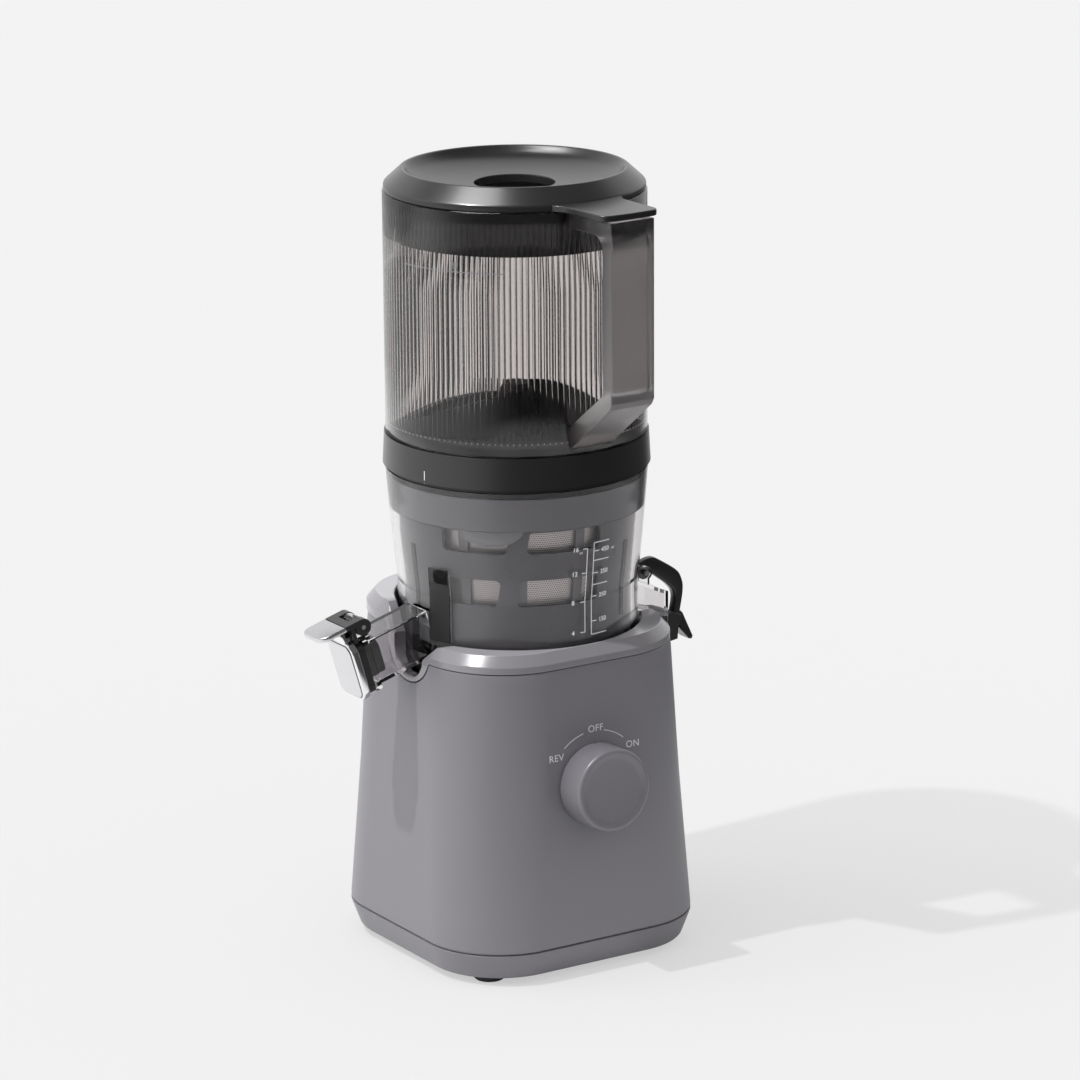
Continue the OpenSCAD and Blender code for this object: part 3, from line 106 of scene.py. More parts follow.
@contextlib.contextmanager
def editing(mesh):
    # a mesh opened for editing and written back
    work = bmesh.new()
    work.from_mesh(mesh)
    yield work
    work.to_mesh(mesh)
    work.free()


def meshObject(name, points, faces, smooth=True, angle=32):
    mesh = bpy.data.meshes.new(name)
    mesh.from_pydata([Vector(p) for p in points], [], faces)
    with editing(mesh) as work:
        bmesh.ops.remove_doubles(work, verts=work.verts, dist=1e-6)
        bmesh.ops.dissolve_degenerate(work, edges=work.edges, dist=1e-7)
        bmesh.ops.recalc_face_normals(work, faces=work.faces)
    made = addObject(name, mesh)
    if smooth:
        smoothByAngle(made, angle)
    return made


def smoothByAngle(obj, angle=32):
    mesh = obj.data
    mesh.polygons.foreach_set("use_smooth", [True] * len(mesh.polygons))
    with editing(mesh) as work:
        for edge in work.edges:
            edge.smooth = len(edge.link_faces) == 2 and edge.calc_face_angle(0) < math.radians(angle)


def toMesh(obj):
    # the evaluated object as a plain mesh, with its place in the mesh
    graph = bpy.context.evaluated_depsgraph_get()
    mesh = bpy.data.meshes.new_from_object(obj.evaluated_get(graph), depsgraph=graph)
    mesh.transform(obj.matrix_world)
    name = obj.name
    bpy.data.objects.remove(obj)
    mesh.name = name
    return addObject(name, mesh)


def flatFaces(obj):
    # large faces keep their own shading, so a bevel reads as a bevel and not as a bulge
    step = obj.modifiers.new("faces", "WEIGHTED_NORMAL")
    step.mode, step.weight, step.keep_sharp = "FACE_AREA", 60, True
    return toMesh(obj)


def paint(obj, *materials):
    obj.data.materials.clear()
    for material in materials:
        obj.data.materials.append(material)
    return obj


def dress(obj, body, slot, material, *replaced):
    # one line for what every piece needs: finish, body and the node it stands for
    if material is not None:
        paint(obj, material)
    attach(obj, body)
    if replaced:
        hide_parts(*replaced)
    return obj


def revolve(name, outline, count, angle=32):
    # a closed outline of [r, z] in millimetres, turned about Z
    n = len(outline)
    points, faces = [], []
    for k in range(count):
        c, s = polar(1, 360 * k / count)
        points += [(r * c * mm, r * s * mm, z * mm) for r, z in outline]
        here, after = k * n, (k + 1) % count * n
        faces += [(here + j, after + j, after + (j + 1) % n, here + (j + 1) % n) for j in range(n)]
    return meshObject(name, points, faces, angle=angle)


def roundCorners(outline, radii, steps):
    # fillets the corners of a closed outline; radii is one number or a dict of corner index to radius
    made = []
    n = len(outline)
    for k, p in enumerate(outline):
        r = radii.get(k, 0) if isinstance(radii, dict) else radii
        a, b, c = Vector(outline[k - 1]), Vector(p), Vector(outline[(k + 1) % n])
        u, v = (a - b), (c - b)
        # corners without a radius and points on a nearly straight run stay as they are
        if r <= 0 or u.length < 1e-6 or v.length < 1e-6 or u.angle(v) > math.pi - 0.02:
            made.append(tuple(p))
            continue
        turn = u.angle(v)
        cut = min(r / math.tan(turn / 2), 0.49 * u.length, 0.49 * v.length)
        rr = cut * math.tan(turn / 2)
        centre = b + (u.normalized() + v.normalized()).normalized() * (rr / math.sin(turn / 2))
        s, e = b + u.normalized() * cut - centre, b + v.normalized() * cut - centre
        a0 = math.atan2(s.y, s.x)
        da = (math.atan2(e.y, e.x) - a0 + math.pi) % (2 * math.pi) - math.pi
        made += [tuple(centre + rr * Vector((math.cos(a0 + da * t / steps), math.sin(a0 + da * t / steps))))
                 for t in range(steps + 1)]
    return made


def weld(obj):
    # a filled curve comes as loose sheets; this closes them
    with editing(obj.data) as work:
        bmesh.ops.remove_doubles(work, verts=work.verts, dist=2e-6)
        bmesh.ops.recalc_face_normals(work, faces=work.faces)
    return obj


def plate(name, outline, width, bevel, place=None):
    # a flat piece: outline in millimetres, width along local Z, with rounded edges
    curve = bpy.data.curves.new(name, "CURVE")
    curve.dimensions, curve.fill_mode = "2D", "BOTH"
    spline = curve.splines.new("POLY")
    spline.points.add(len(outline) - 1)
    for point, (x, y) in zip(spline.points, outline):
        point.co = (x * mm, y * mm, 0, 1)
    spline.use_cyclic_u = True
    curve.extrude = (width / 2 - bevel) * mm
    curve.bevel_depth, curve.bevel_resolution = bevel * mm, 3
    curve.offset = -bevel * mm
    obj = addObject(name, curve)
    if place is not None:
        obj.matrix_world = place
    made = weld(toMesh(obj))
    smoothByAngle(made, 40)
    return made


def joinPieces(name, parts):
    # merges meshes into one piece; keeps each part's materials
    bpy.ops.object.select_all(action="DESELECT")
    for part in parts:
        part.select_set(True)
    bpy.context.view_layer.objects.active = parts[0]
    bpy.ops.object.join()
    parts[0].name = parts[0].data.name = name
    return parts[0]


def cutOut(obj, other):
    step = obj.modifiers.new("cut", "BOOLEAN")
    step.object, step.operation, step.solver = other, "DIFFERENCE", "EXACT"
    made = toMesh(obj)
    bpy.data.objects.remove(other)
    return made


def boxSolid(name, low, high, place=None):
    x0, y0, z0 = low
    x1, y1, z1 = high
    points = [(x * mm, y * mm, z * mm) for x in (x0, x1) for y in (y0, y1) for z in (z0, z1)]
    faces = [(0, 1, 3, 2), (4, 6, 7, 5), (0, 4, 5, 1), (2, 3, 7, 6), (0, 2, 6, 4), (1, 5, 7, 3)]
    made = meshObject(name, points, faces, smooth=False)
    if place is not None:
        made.data.transform(place)
    return made


def textMesh(name, words, size, thick=0.12, bold=0.0):
    # size is the letter height in millimetres, bold what each stroke gains on either side
    curve = bpy.data.curves.new(name, "FONT")
    curve.body, curve.size = words, size * mm
    curve.align_x, curve.align_y = "CENTER", "CENTER"
    curve.extrude, curve.offset = thick / 2 * mm, bold * mm
    curve.space_character = 1.06
    return weld(toMesh(addObject(name, curve)))


print("tools ready")


def mouldedPlastic(name, colour, rough, grain, bump, coat=0.0):
    # injection-moulded plastic: an even colour, a fine eroded texture that softens the highlight
    material, tree, place = newMaterial(name)
    fine = addNode(tree, "ShaderNodeTexNoise", inputs={"Vector": place, "Scale": 1 / (grain * mm), "Detail": 2.0})
    wide = addNode(tree, "ShaderNodeTexNoise", inputs={"Vector": place, "Scale": 18.0, "Detail": 3.0})
    tones, uneven = (0.97, 1.03), 0.035
    darker, lighter = (tuple(c * share for c in toLinear(colour)[:3]) + (1,) for share in tones)
    tone = addNode(tree, "ShaderNodeMix", {"data_type": "RGBA"}, {0: wide, 6: darker, 7: lighter})
    sheen = addNode(tree, "ShaderNodeMapRange", inputs={
        "Value": wide, "To Min": max(0.02, rough - uneven), "To Max": rough + uneven})
    return inRelief(material, fine, bump, 0.04, {
        "Base Color": tone.outputs[2], "Roughness": sheen, "IOR": 1.53, "Coat Weight": coat, "Coat Roughness": 0.12})


def clearPlastic(name, colour, rough, ripple=0.02):
    # moulded clear copolyester: bright edges, faint flow marks in the surface
    material, tree, place = newMaterial(name)
    flow = addNode(tree, "ShaderNodeTexNoise", inputs={"Vector": place, "Scale": 22.0, "Detail": 1.0})
    return inRelief(material, flow, ripple, 1, {
        "Base Color": toLinear(colour), "Roughness": rough, "IOR": 1.45, "Transmission Weight": 1.0})


def workedMetal(name, colour, rough, line, bump, stretch=(1, 1, 1)):
    # turned or brushed metal: fine streaks across the axis with the larger scale
    material, tree, place = newMaterial(name)
    turned = addNode(tree, "ShaderNodeMapping", inputs={"Vector": place, "Scale": stretch})
    streak = addNode(tree, "ShaderNodeTexNoise", inputs={"Vector": turned, "Scale": 1 / (line * mm), "Detail": 3.0})
    sheen = addNode(tree, "ShaderNodeMapRange", inputs={
        "Value": streak, "To Min": rough * 0.75, "To Max": rough * 1.3})
    return inRelief(material, streak, bump, 0.01, {
        "Base Color": toLinear(colour), "Metallic": 1.0, "Roughness": sheen})


def etchedSheet(name, colour, pitch, hole):
    # stainless sheet etched with a staggered grid of round holes, drawn a little coarser than real
    material, tree, place = newMaterial(name)
    x, y, z = addNode(tree, "ShaderNodeSeparateXYZ", inputs={0: place}).outputs
    turn = addNode(tree, "ShaderNodeMath", {"operation": "ARCTAN2"}, {0: y, 1: x})
    # at 60 mm radius one radian is 60 mm of sheet
    across = addNode(tree, "ShaderNodeMath", {"operation": "MULTIPLY"}, {0: turn, 1: 60 / pitch})
    upward = addNode(tree, "ShaderNodeMath", {"operation": "MULTIPLY"}, {0: z, 1: 1 / (pitch * 0.866 * mm)})
    row = addNode(tree, "ShaderNodeMath", {"operation": "FLOOR"}, {0: upward})
    odd = addNode(tree, "ShaderNodeMath", {"operation": "MULTIPLY"}, {0: row, 1: 0.5})
    moved = addNode(tree, "ShaderNodeMath", {"operation": "ADD"}, {0: across, 1: odd})
    u, v = (addNode(tree, "ShaderNodeMath", {"operation": "FRACT"}, {0: value}) for value in (moved, upward))
    cell = addNode(tree, "ShaderNodeCombineXYZ", inputs={"X": u, "Y": v})
    away = addNode(tree, "ShaderNodeVectorMath", {"operation": "DISTANCE"}, {0: cell, 1: (0.5, 0.5, 0)})
    edge, blur = hole / pitch / 2, 0.08
    isHole = addNode(tree, "ShaderNodeMapRange", inputs={
        "Value": away.outputs["Value"], "From Min": edge - blur, "From Max": edge + blur, "To Min": 1.0, "To Max": 0.0})
    metal = addNode(tree, "ShaderNodeBsdfPrincipled", inputs={
        "Base Color": toLinear(colour), "Metallic": 0.6, "Roughness": 0.38})
    # the holes are not cut: the dark colour in each is painted shade, standing for the dim inside behind the sheet
    dark = addNode(tree, "ShaderNodeBsdfPrincipled", inputs={"Base Color": toLinear("#3a3a3c"), "Roughness": 0.6})
    return finishMaterial(material, addNode(tree, "ShaderNodeMixShader", inputs={0: isHole, 1: metal, 2: dark}))


# body: fine matte grain; cover: smoother, catches the lamp; its flat top: polished, mirrors the wall behind, and given
# a lighter grey as painted light falling on it from above
slateAbs = mouldedPlastic("slateAbsEroded", "#6d6b70", 0.42, 0.45, 0.18)
satinSlateAbs = mouldedPlastic("slateAbsSatin", "#777579", 0.22, 0.8, 0.03, 0.3)
litTopSlateAbs = mouldedPlastic("slateAbsPolishedLitTop", "#98969b", 0.14, 0.8, 0.02, 0.6)
# knob: tight satin
knobAbs = mouldedPlastic("slateAbsFine", "#6b696e", 0.36, 0.5, 0.08)
# lid and ring: soft wide highlight; skirt: matt, and a darker black than the lid's as painted shade inside the hopper
blackAbs = mouldedPlastic("blackAbsSatin", "#1c1c1d", 0.30, 0.6, 0.10, 0.15)
shadedMattBlackAbs = mouldedPlastic("blackAbsErodedShaded", "#0b0b0d", 0.55, 0.2, 0.1)
# cage and auger: grey, raised lighter than the plastic's own as painted light, since the clear bowl keeps the lamp off
# them; strainer frame: a shade lighter; strainer tab: polished and lighter still
cagePlastic = mouldedPlastic("greyPolypropylene", "#707074", 0.38, 0.7, 0.10)
strainerPlastic = mouldedPlastic("greyPolypropyleneFilled", "#88888c", 0.38, 0.7, 0.10)
paleCagePlastic = mouldedPlastic("greyPolypropylenePolished", "#a3a3a6", 0.2, 0.7, 0.03)
# seals: soft, nearly no highlight; feet: dull and dusty
blackSilicone = mouldedPlastic("blackSilicone", "#151516", 0.50, 0.5, 0.15)
blackRubber = mouldedPlastic("blackRubber", "#1a1a1a", 0.65, 0.6, 0.30)
# gears and fan: cut and slightly waxy; circuit board: green lacquer
naturalNylon = mouldedPlastic("naturalNylon", "#e6e3d8", 0.42, 0.7, 0.08)
boardResin = mouldedPlastic("solderMaskedBoard", "#1f5a36", 0.35, 0.6, 0.05)
# printed legends: thin dull ink, the white one also painting the glint beads at the foot of the hopper's flutes; fill
# mark: low moulding, barely lighter
printAndGlintWhite = mouldedPlastic("padPrintedInkAndGlint", "#dedee0", 0.55, 0.4, 0.05)
printGrey = mouldedPlastic("padPrintedGreyInk", "#c9c9cc", 0.55, 0.4, 0.05)
mouldedMark = mouldedPlastic("raisedMoulding", "#6c6c70", 0.40, 0.5, 0.05)
# bowl: water clear; hopper: smoke grey and smooth; grip: smoke grey with a satin haze
clearCopolyester = clearPlastic("clearCopolyester", "#f3f1f2", 0.015)
smokeCopolyester = clearPlastic("smokeCopolyester", "#eae6e5", 0.005, 0.0)
hazedCopolyester = clearPlastic("smokeCopolyesterHazed", "#c8c4c4", 0.32)
# cap: bright frame, satin face; shafts and pins: turned; motor: cut sheet edges; gearbox: cast, with a bronze bush
polishedChrome = workedMetal("platedAbsPolished", "#e3e3e5", 0.06, 0.6, 0.02)
satinChrome = workedMetal("platedAbsSatin", "#cfcfd2", 0.26, 0.3, 0.05, (1, 1, 8))
turnedSteel = workedMetal("turnedSteel", "#c6c6c8", 0.28, 0.3, 0.15, (1, 1, 6))
siliconSteel = workedMetal("laminatedSteel", "#8a8b8f", 0.5, 0.5, 0.3, (1, 1, 20))
castAluminium = workedMetal("castAluminium", "#b9babd", 0.45, 0.8, 0.3)
sinteredBronze = workedMetal("sinteredBronze", "#b08d57", 0.5, 0.3, 0.3)
# strainer: pale sheet, with holes painted dark as painted shade of the dim inside seen through them
strainerSteel = etchedSheet("etchedStainless", "#e4dedc", 1.35, 0.72)

for material, names in (
        (slateAbs, "plinth housing"),
        (satinSlateAbs, "top_cover"),
        (knobAbs, "knob"),
        (blackAbs, "well_deck rotary_switch bowl_sensor cap_lever gate_lever hopper_base cutter lid"),
        (shadedMattBlackAbs, "lid_skirt"),
        (cagePlastic, "wiper_cage auger"),
        (strainerPlastic, "strainer_frame"),
        (blackSilicone, "bowl_seal spout_seal wiper_blades cap_plug gate_stopper hopper_gasket"),
        (blackRubber, "feet motor_mounts cord_gland"),
        (naturalNylon, "cooling_fan reduction_gear wiper_idler cutter_bush"),
        (boardResin, "control_board"),
        (clearCopolyester, "bowl"),
        (smokeCopolyester, "hopper"),
        (satinChrome, "cap_plate"),
        (turnedSteel, "plinth_screws gearbox_screws idler_pin knob_spindle motor_shaft motor_pinion drive_shaft"),
        (turnedSteel, "output_gear cap_pin gate_pin wiper_idler_pin auger_socket"),
        (siliconSteel, "motor_stator motor_rotor"),
        (castAluminium, "gearbox_case gearbox_lid"),
        (sinteredBronze, "output_bush"),
        (strainerSteel, "strainer_mesh")):
    for name in names.split():
        paint(nodes[name], material)
print("materials on", len(nodes), "nodes")

body = {
    "seamZ": 19.5, "bottomZ": 4.0, "bottomHalf": 78.9, "bottomCorner": 42.5, "seamHalf": 83.9, "seamCorner": 46.5,
    "waistZ": 105.0, "waistHalf": 79.3, "waistCorner": 48.25, "neckHalf": 76.4, "neckCorner": 50.0,
    "coverZ": 179.8, "rearZ": 192.8, "topZ": 189.7, "rimZ": 204.5, "outletY": -4.7, "notchR": 16.0, "notchZ": 184.0,
    "dipR": 23.0, "dipZ": 187.7, "openingR": 70.0, "deckZ": 165.2, "wall": 3.0, "joint": 0.25,
    "motorY": 12.0, "motorTurn": -45.0, "screwAt": 57.0, "sideX": 35.0, "slopeY": -26.0, "slopeEnd": -15.2,
    "slopeZ": 190.7, "slopeFall": 9.7 / 11, "chamfer": (5.2, 5.8), "notchChamfer": (1.2, 1.0), "litTopZ": 0.186,
    "ramp": [(16, 189.7), (19, 193.7), (22, 197.8), (25, 201.0), (29, 203.6), (33, 204.5)],
}


@functools.lru_cache(maxsize=None)
def squareRing(half, corner):
    # a rounded square as matching points for every height; the two sides along X get more points
    made = []
    flat, steps = half - corner, 12
    for side in range(4):
        sideSteps = 26 if side % 2 == 0 else 6
        low = [polar(corner, -45 + 45 * k / steps) for k in range(steps + 1)]
        high = [polar(corner, 45 * k / steps) for k in range(steps)]
        line = [(flat + x, -flat + y) for x, y in low]
        line += [(half, -flat + 2 * flat * k / sideSteps) for k in range(1, sideSteps)]
        line += [(flat + x, flat + y) for x, y in high]
        c, s = polar(1, 90 * side)
        made += [(x * c - y * s, x * s + y * c) for x, y in line]
    return made


def seamHeight(x, y):
    level = body["coverZ"] if y < body["outletY"] + body["notchR"] else body["rearZ"]
    off = y - body["outletY"]
    # the seam dips under the outlet on either side
    if abs(x) > 50 and abs(off) < body["dipR"]:
        level = min(level, body["dipZ"] - math.sqrt(body["dipR"] ** 2 - off ** 2))
    return level


def bodyWidth(z):
    # half width and corner radius of the housing at a height
    b = body
    spots = [(b["seamZ"], b["seamHalf"], b["seamCorner"]), (b["waistZ"], b["waistHalf"], b["waistCorner"]),
             (b["rearZ"], b["neckHalf"] - 0.5, b["neckCorner"])]
    for (z0, h0, c0), (z1, h1, c1) in zip(spots, spots[1:]):
        if z <= z1 or z1 == b["rearZ"]:
            t = max(0, (z - z0) / (z1 - z0))
            return h0 + (h1 - h0) * t, c0 + (c1 - c0) * t


def loft(name, rings, closed=False, angle=32):
    n = len(rings[0])
    points = [(x * mm, y * mm, z * mm) for ring in rings for x, y, z in ring]
    faces = [(k * n + j, k * n + (j + 1) % n, (k + 1) * n + (j + 1) % n, (k + 1) * n + j)
             for k in range(len(rings) - 1) for j in range(n)]
    if closed:
        faces += [tuple(reversed(range(n))), tuple((len(rings) - 1) * n + j for j in range(n))]
    return meshObject(name, points, faces, angle=angle)


def makeHousing():
    # the top edge follows the cover's seam, and the columns between stretch with it
    low = body["seamZ"] + 0.3
    heights = [seamHeight(x, y) - body["joint"] for x, y in squareRing(body["neckHalf"] - 0.2, body["neckCorner"])]

    def ringAt(t, pull):
        made = []
        for k, high in enumerate(heights):
            z = low + (high - low) * t
            half, corner = bodyWidth(z)
            x, y = squareRing(round(half - pull, 2), round(corner - pull, 2))[k]
            made.append((x, y, z))
        return made

    # share of the height and how far the ring draws in
    edges = [(0, 0.7), (0.004, 0.2)], [(0.994, 0.15), (1.0, 0.6)]
    sides = [(t, 0) for t in (0.01, 0.06, 0.14, 0.24, 0.36, 0.5, 0.64, 0.78, 0.9, 0.97)]
    inside = [(1.0, body["wall"]), (0.5, body["wall"]), (0.0, body["wall"]), (0, 0.7)]
    return flatFaces(loft("housingShell", [ringAt(t, pull) for t, pull in edges[0] + sides + edges[1] + inside]))


def makePlinth():
    b = body
    # half width, corner radius and height of the two levels, and what each step adds to them
    foot, seam = (b["bottomHalf"], b["bottomCorner"], b["bottomZ"]), (b["seamHalf"], b["seamCorner"], b["seamZ"])
    steps = [(foot, -2.0, -2, 0), (foot, -0.5, -0.5, 0.3), (foot, 0.25, 0, 1.2), (seam, -2.2, -2, -7),
             (seam, -0.15, -0.2, -1.2), (seam, -0.15, -0.2, -0.7), (seam, -0.8, -0.8, -0.3), (seam, -3, -3, -0.3),
             (foot, -3, -3, 3)]
    rings = [[(x, y, level[2] + dz) for x, y in squareRing(level[0] + dh, level[1] + dc)]
             for level, dh, dc, dz in steps]
    shell = loft("plinthTray", rings, closed=True)
    # air slots under the fan, square to the motor, and sunk holes for the screws
    cuts = [boxSolid("slot", (k * 9 - 2, b["motorY"] - 22, 0), (k * 9 + 2, b["motorY"] + 22, 9),
                     rotate(b["motorTurn"], "Z")) for k in range(-3, 4)]
    for sx, sy in ((-1, -1), (-1, 1), (1, -1), (1, 1)):
        sink = revolve("sink", [(0, 3), (3.5, 3), (3.5, 5.5), (1.8, 5.5), (1.8, 9), (0, 9)], 32)
        sink.data.transform(shift(sx * b["screwAt"], sy * b["screwAt"], 0))
        cuts.append(sink)
    shell = cutOut(shell, joinPieces("cuts", cuts))
    smoothByAngle(shell)
    return flatFaces(shell)


def coverTop(x, y):
    # height of the cover's upper face
    b = body
    off = y - b["outletY"]
    if abs(x) < b["sideX"]:
        return b["topZ"] if y < 20 else b["rimZ"]
    # at the sides: the flat front top, a slope down to the notch, the notch, and a ramp up to the rear rim
    if off <= b["slopeY"]:
        return b["topZ"]
    if off <= b["slopeEnd"]:
        return min(b["topZ"], b["slopeZ"] - (off - b["slopeY"]) * b["slopeFall"])
    if off <= b["notchR"]:
        return b["notchZ"] - math.sqrt(max(0, b["notchR"] ** 2 - off ** 2))
    for (a, za), (c, zc) in zip(b["ramp"], b["ramp"][1:]):
        if off <= c:
            return za + (zc - za) * max(0, (off - a)) / (c - a)
    return b["rimZ"]


def makeCover():
    b = body
    # columns round the cover: (outer point, inner point); extra ones where the notches turn
    ys = [-40, -36, -33, -31, -29, -27, -25, -23, -21.5, -20.9, -20.3, -19.5, -18, -16, -13, -9.5, -4.7, 0.1, 3.6,
          6.6, 8.6, 10.1, 10.9, 11.25, 11.35, 12.5, 14.3, 15.5, 17.3, 18.1, 18.5, 20.3, 22.3, 24.3, 26.3, 28.3, 31,
          35, 40]
    half, corner, opening, last = b["neckHalf"], b["neckCorner"], b["openingR"], ys[-1]
    flat = half - corner

    def outerAt(y):
        return half if abs(y) <= flat else flat + math.sqrt(corner ** 2 - (abs(y) - flat) ** 2)

    columns = [((outerAt(y), y), (math.sqrt(opening ** 2 - y * y), y)) for y in ys]
    endOut, endIn = math.atan2(last, outerAt(last)), math.asin(last / opening)

    def ringPoint(a):
        # outer rounded square at polar angle a
        c, s = math.cos(a), math.sin(a)
        if abs(s) > abs(c) and abs(half * c / s) <= flat:
            return (half * c / s, math.copysign(half, s))
        d = flat * (abs(c) + abs(s))
        t = d + math.sqrt(max(0, d * d - 2 * flat * flat + corner * corner))
        return (t * c, t * s)

    rear = []
    for k in range(1, 36):
        t = k / 36
        a, e = (end + (math.pi - 2 * end) * t for end in (endOut, endIn))
        rear.append((ringPoint(a), (opening * math.cos(e), opening * math.sin(e))))
    left = [((-x, y), (-u, v)) for (x, y), (u, v) in reversed(columns)]
    front = [((-x, -y), (-u, -v)) for (x, y), (u, v) in rear]
    ring = columns + rear + left + front

    def spread(k):
        # inset of the chamfer and its drop, smaller inside the notches
        (x, y), _ = ring[k]
        off, notch = y - b["outletY"], b["notchR"]
        if abs(x) <= b["sideX"] or not b["slopeY"] < off < 30:
            return b["chamfer"]
        t = 0 if abs(off) <= notch else (-notch - off) / 10 if off < 0 else (off - notch) / 14
        return tuple(low + (high - low) * min(1, max(0, t)) for low, high in zip(b["notchChamfer"], b["chamfer"]))

    # each column runs from the seam up the outside, over the bevel and the rim, and back down inside the wall
    profiles = []
    for k, ((x, y), (u, v)) in enumerate(ring):
        inset, drop = spread(k)
        ax, ay = max(0, abs(x) - flat), max(0, abs(y) - flat)
        m = math.hypot(ax, ay)
        nx, ny = math.copysign(ax / m, x), math.copysign(ay / m, y)
        seam = seamHeight(x, y) + b["joint"]
        top, topIn = coverTop(x, y), coverTop(u, v)
        band, deck = max(top - drop, seam + 1.2), min(b["deckZ"], topIn - 1.0)
        outer = [(1.0, seam), (0.15, seam + 0.12), (0, seam + 0.5), (0, band - 0.3), (0.12, band), (0.4, band + 0.35),
                 (inset - 0.35, top - 0.35), (inset, top - 0.08), (inset + 0.4, top)]
        bore = [(opening + 0.6, topIn), (opening, topIn - 0.6), (opening, deck), (opening + 1.6, deck),
                (opening + 1.6, max(seam + 0.4, topIn - 2.2))]
        under = [(2.6, max(seam + 0.3, band - 1.5)), (2.6, seam)]
        profiles.append([(x - nx * pull, y - ny * pull, z) for pull, z in outer]
                        + [(u * r / opening, v * r / opening, z) for r, z in bore]
                        + [(x - nx * pull, y - ny * pull, z) for pull, z in under])
    rings = list(zip(*profiles))
    shell = paint(flatFaces(loft("coverShell", rings + rings[:1], angle=24)), satinSlateAbs, litTopSlateAbs)
    # faces that look straight up, high on the cover, take the lighter grey: painted light on the flat top
    for face in shell.data.polygons:
        face.material_index = int(face.normal.z > 0.96 and face.center.z > b["litTopZ"])
    return shell


dress(makeHousing(), "base", "body_grey", slateAbs, "housing")
dress(makePlinth(), "base", "body_grey", slateAbs, "plinth")
dress(makeCover(), "base", "cover_grey", None, "top_cover")
print("motor body done")

knob = {"z": 110.7, "y": -79.079, "slope": 3.0796, "r": 23.6, "h": 20.5, "dishR": 17.2, "drop": 1.7, "round": 1.9}
knobPlace = shift(0, knob["y"], knob["z"]) @ rotate(90 - knob["slope"], "X")
legend = {"size": 5.6, "offZ": 142.3, "sideZ": 129.2, "arcR": 30.6, "arcW": 0.22, "arcFrom": 13, "arcSweep": 27,
          "steps": 14, "ink": 0.08}


def makeKnob():
    r, h, dish, drop, edge = (knob[name] for name in ("r", "h", "dishR", "drop", "round"))
    rim = r - edge
    outline = [(0, 0.4), (r - 0.8, 0.4), (r - 0.1, 0.9), (r, 1.6), (r, h - edge)]
    outline += [(rim + y, h - edge + x) for x, y in (polar(edge, a) for a in range(80, -1, -10))]
    # the rim rolls over into the dish
    outline += [(rim + (dish - rim) * k / 8, h - drop * (0.5 - 0.5 * math.cos(math.pi * k / 8))) for k in range(1, 9)]
    outline += [(dish * k / 8, h - drop - 0.9 * (1 - (k / 8) ** 2)) for k in range(7, -1, -1)]
    made = cutOut(revolve("knobCap", outline, 160), boxSolid("notch", (-0.9, r - 1.1, -1), (0.9, r + 1, 2.2)))
    made.data.transform(knobPlace)
    smoothByAngle(made, 30)
    return made


dress(makeKnob(), "knob", "body_grey", knobAbs, "knob")


def onFront(obj, x, z):
    # lays a flat mesh on the housing's front face
    tilt = math.degrees(math.atan((bodyWidth(z - 2)[0] - bodyWidth(z + 2)[0]) / 4))
    obj.data.transform(shift(x, -(bodyWidth(z)[0] + 0.02), z) @ rotate(90 - tilt, "X"))
    return obj


def makeLegends():
    l = legend
    parts = [onFront(textMesh("legend", words, l["size"]), x, z) for words, x, z in (
        ("OFF", 1.5, l["offZ"]), ("REV", -25.0, l["sideZ"]), ("ON", 26.0, l["sideZ"]))]
    for side in (-1, 1):
        verts = []
        for k in range(l["steps"] + 1):
            for r in (l["arcR"] - l["arcW"], l["arcR"] + l["arcW"]):
                x, up = polar(r, 90 - side * (l["arcFrom"] + l["arcSweep"] * k / l["steps"]))
                z = knob["z"] + up
                verts.append((x * mm, -(bodyWidth(z)[0] + l["ink"]) * mm, z * mm))
        faces = [(2 * k, 2 * k + 1, 2 * k + 3, 2 * k + 2) for k in range(l["steps"])]
        arc = meshObject("arc", verts, faces, smooth=False)
        thick = arc.modifiers.new("ink", "SOLIDIFY")
        thick.thickness, thick.offset = l["ink"] * mm, 0
        parts.append(toMesh(arc))
    return joinPieces("frontLegends", parts)


dress(makeLegends(), "base", "body_grey", printGrey)
print("knob and legends done")

bowl = {"r": 68.4, "coneZ": 215.0, "flare": 6.0, "rimZ": 280.2, "outletY": -4.7, "tabR": 68.6, "tabAt": -45,
        "tabZ": 260.2}
cage = {
    "wall": 2.2, "inside": 61.3, "floorT": 5.0, "teeth": 42, "rootR": 57.72, "tipR": 52.52,
    "levels": [(63.5, 185.05), (63.5, 215), (65.12, 229), (66.43, 243), (67.37, 259)],
    "rows": [(213, 228.5), (244, 256.8)], "windowA": 200.0, "sweep": 80.0, "blades": 3,
    "ribLow": (231.0, 205.0), "ribTop": (239.0, 257.0), "ribW": 11.0, "corner": 2.6, "mouth": 60.2,
}


def bowlRadius(z):
    return bowl["r"] + bowl["flare"] * (max(0, z - bowl["coneZ"]) / (bowl["rimZ"] - bowl["coneZ"])) ** 0.85


def cageRadius(z):
    for (r0, z0), (r1, z1) in zip(cage["levels"], cage["levels"][1:]):
        if z <= z1:
            return r0 + (r1 - r0) * (z - z0) / (z1 - z0)
    return cage["levels"][-1][0]


def windowCutter(name, outline):
    # outline is a list of [turn in degrees, z]; the prism runs out along the radius
    n = len(outline)
    points = [(*(v * mm for v in polar(r, a)), z * mm) for r in (54, 76) for a, z in outline]
    faces = [(k, (k + 1) % n, n + (k + 1) % n, n + k) for k in range(n)]
    faces += [tuple(reversed(range(n))), tuple(range(n, 2 * n))]
    return meshObject(name, points, faces, smooth=False)


def splitEdges(outline, longest):
    # extra points on the long edges, so that a wrapped edge follows the wall
    made = []
    for (x0, y0), (x1, y1) in zip(outline, outline[1:] + outline[:1]):
        count = max(1, math.ceil(math.hypot(x1 - x0, y1 - y0) / longest))
        made += [(x0 + (x1 - x0) * k / count, y0 + (y1 - y0) * k / count) for k in range(count)]
    return made


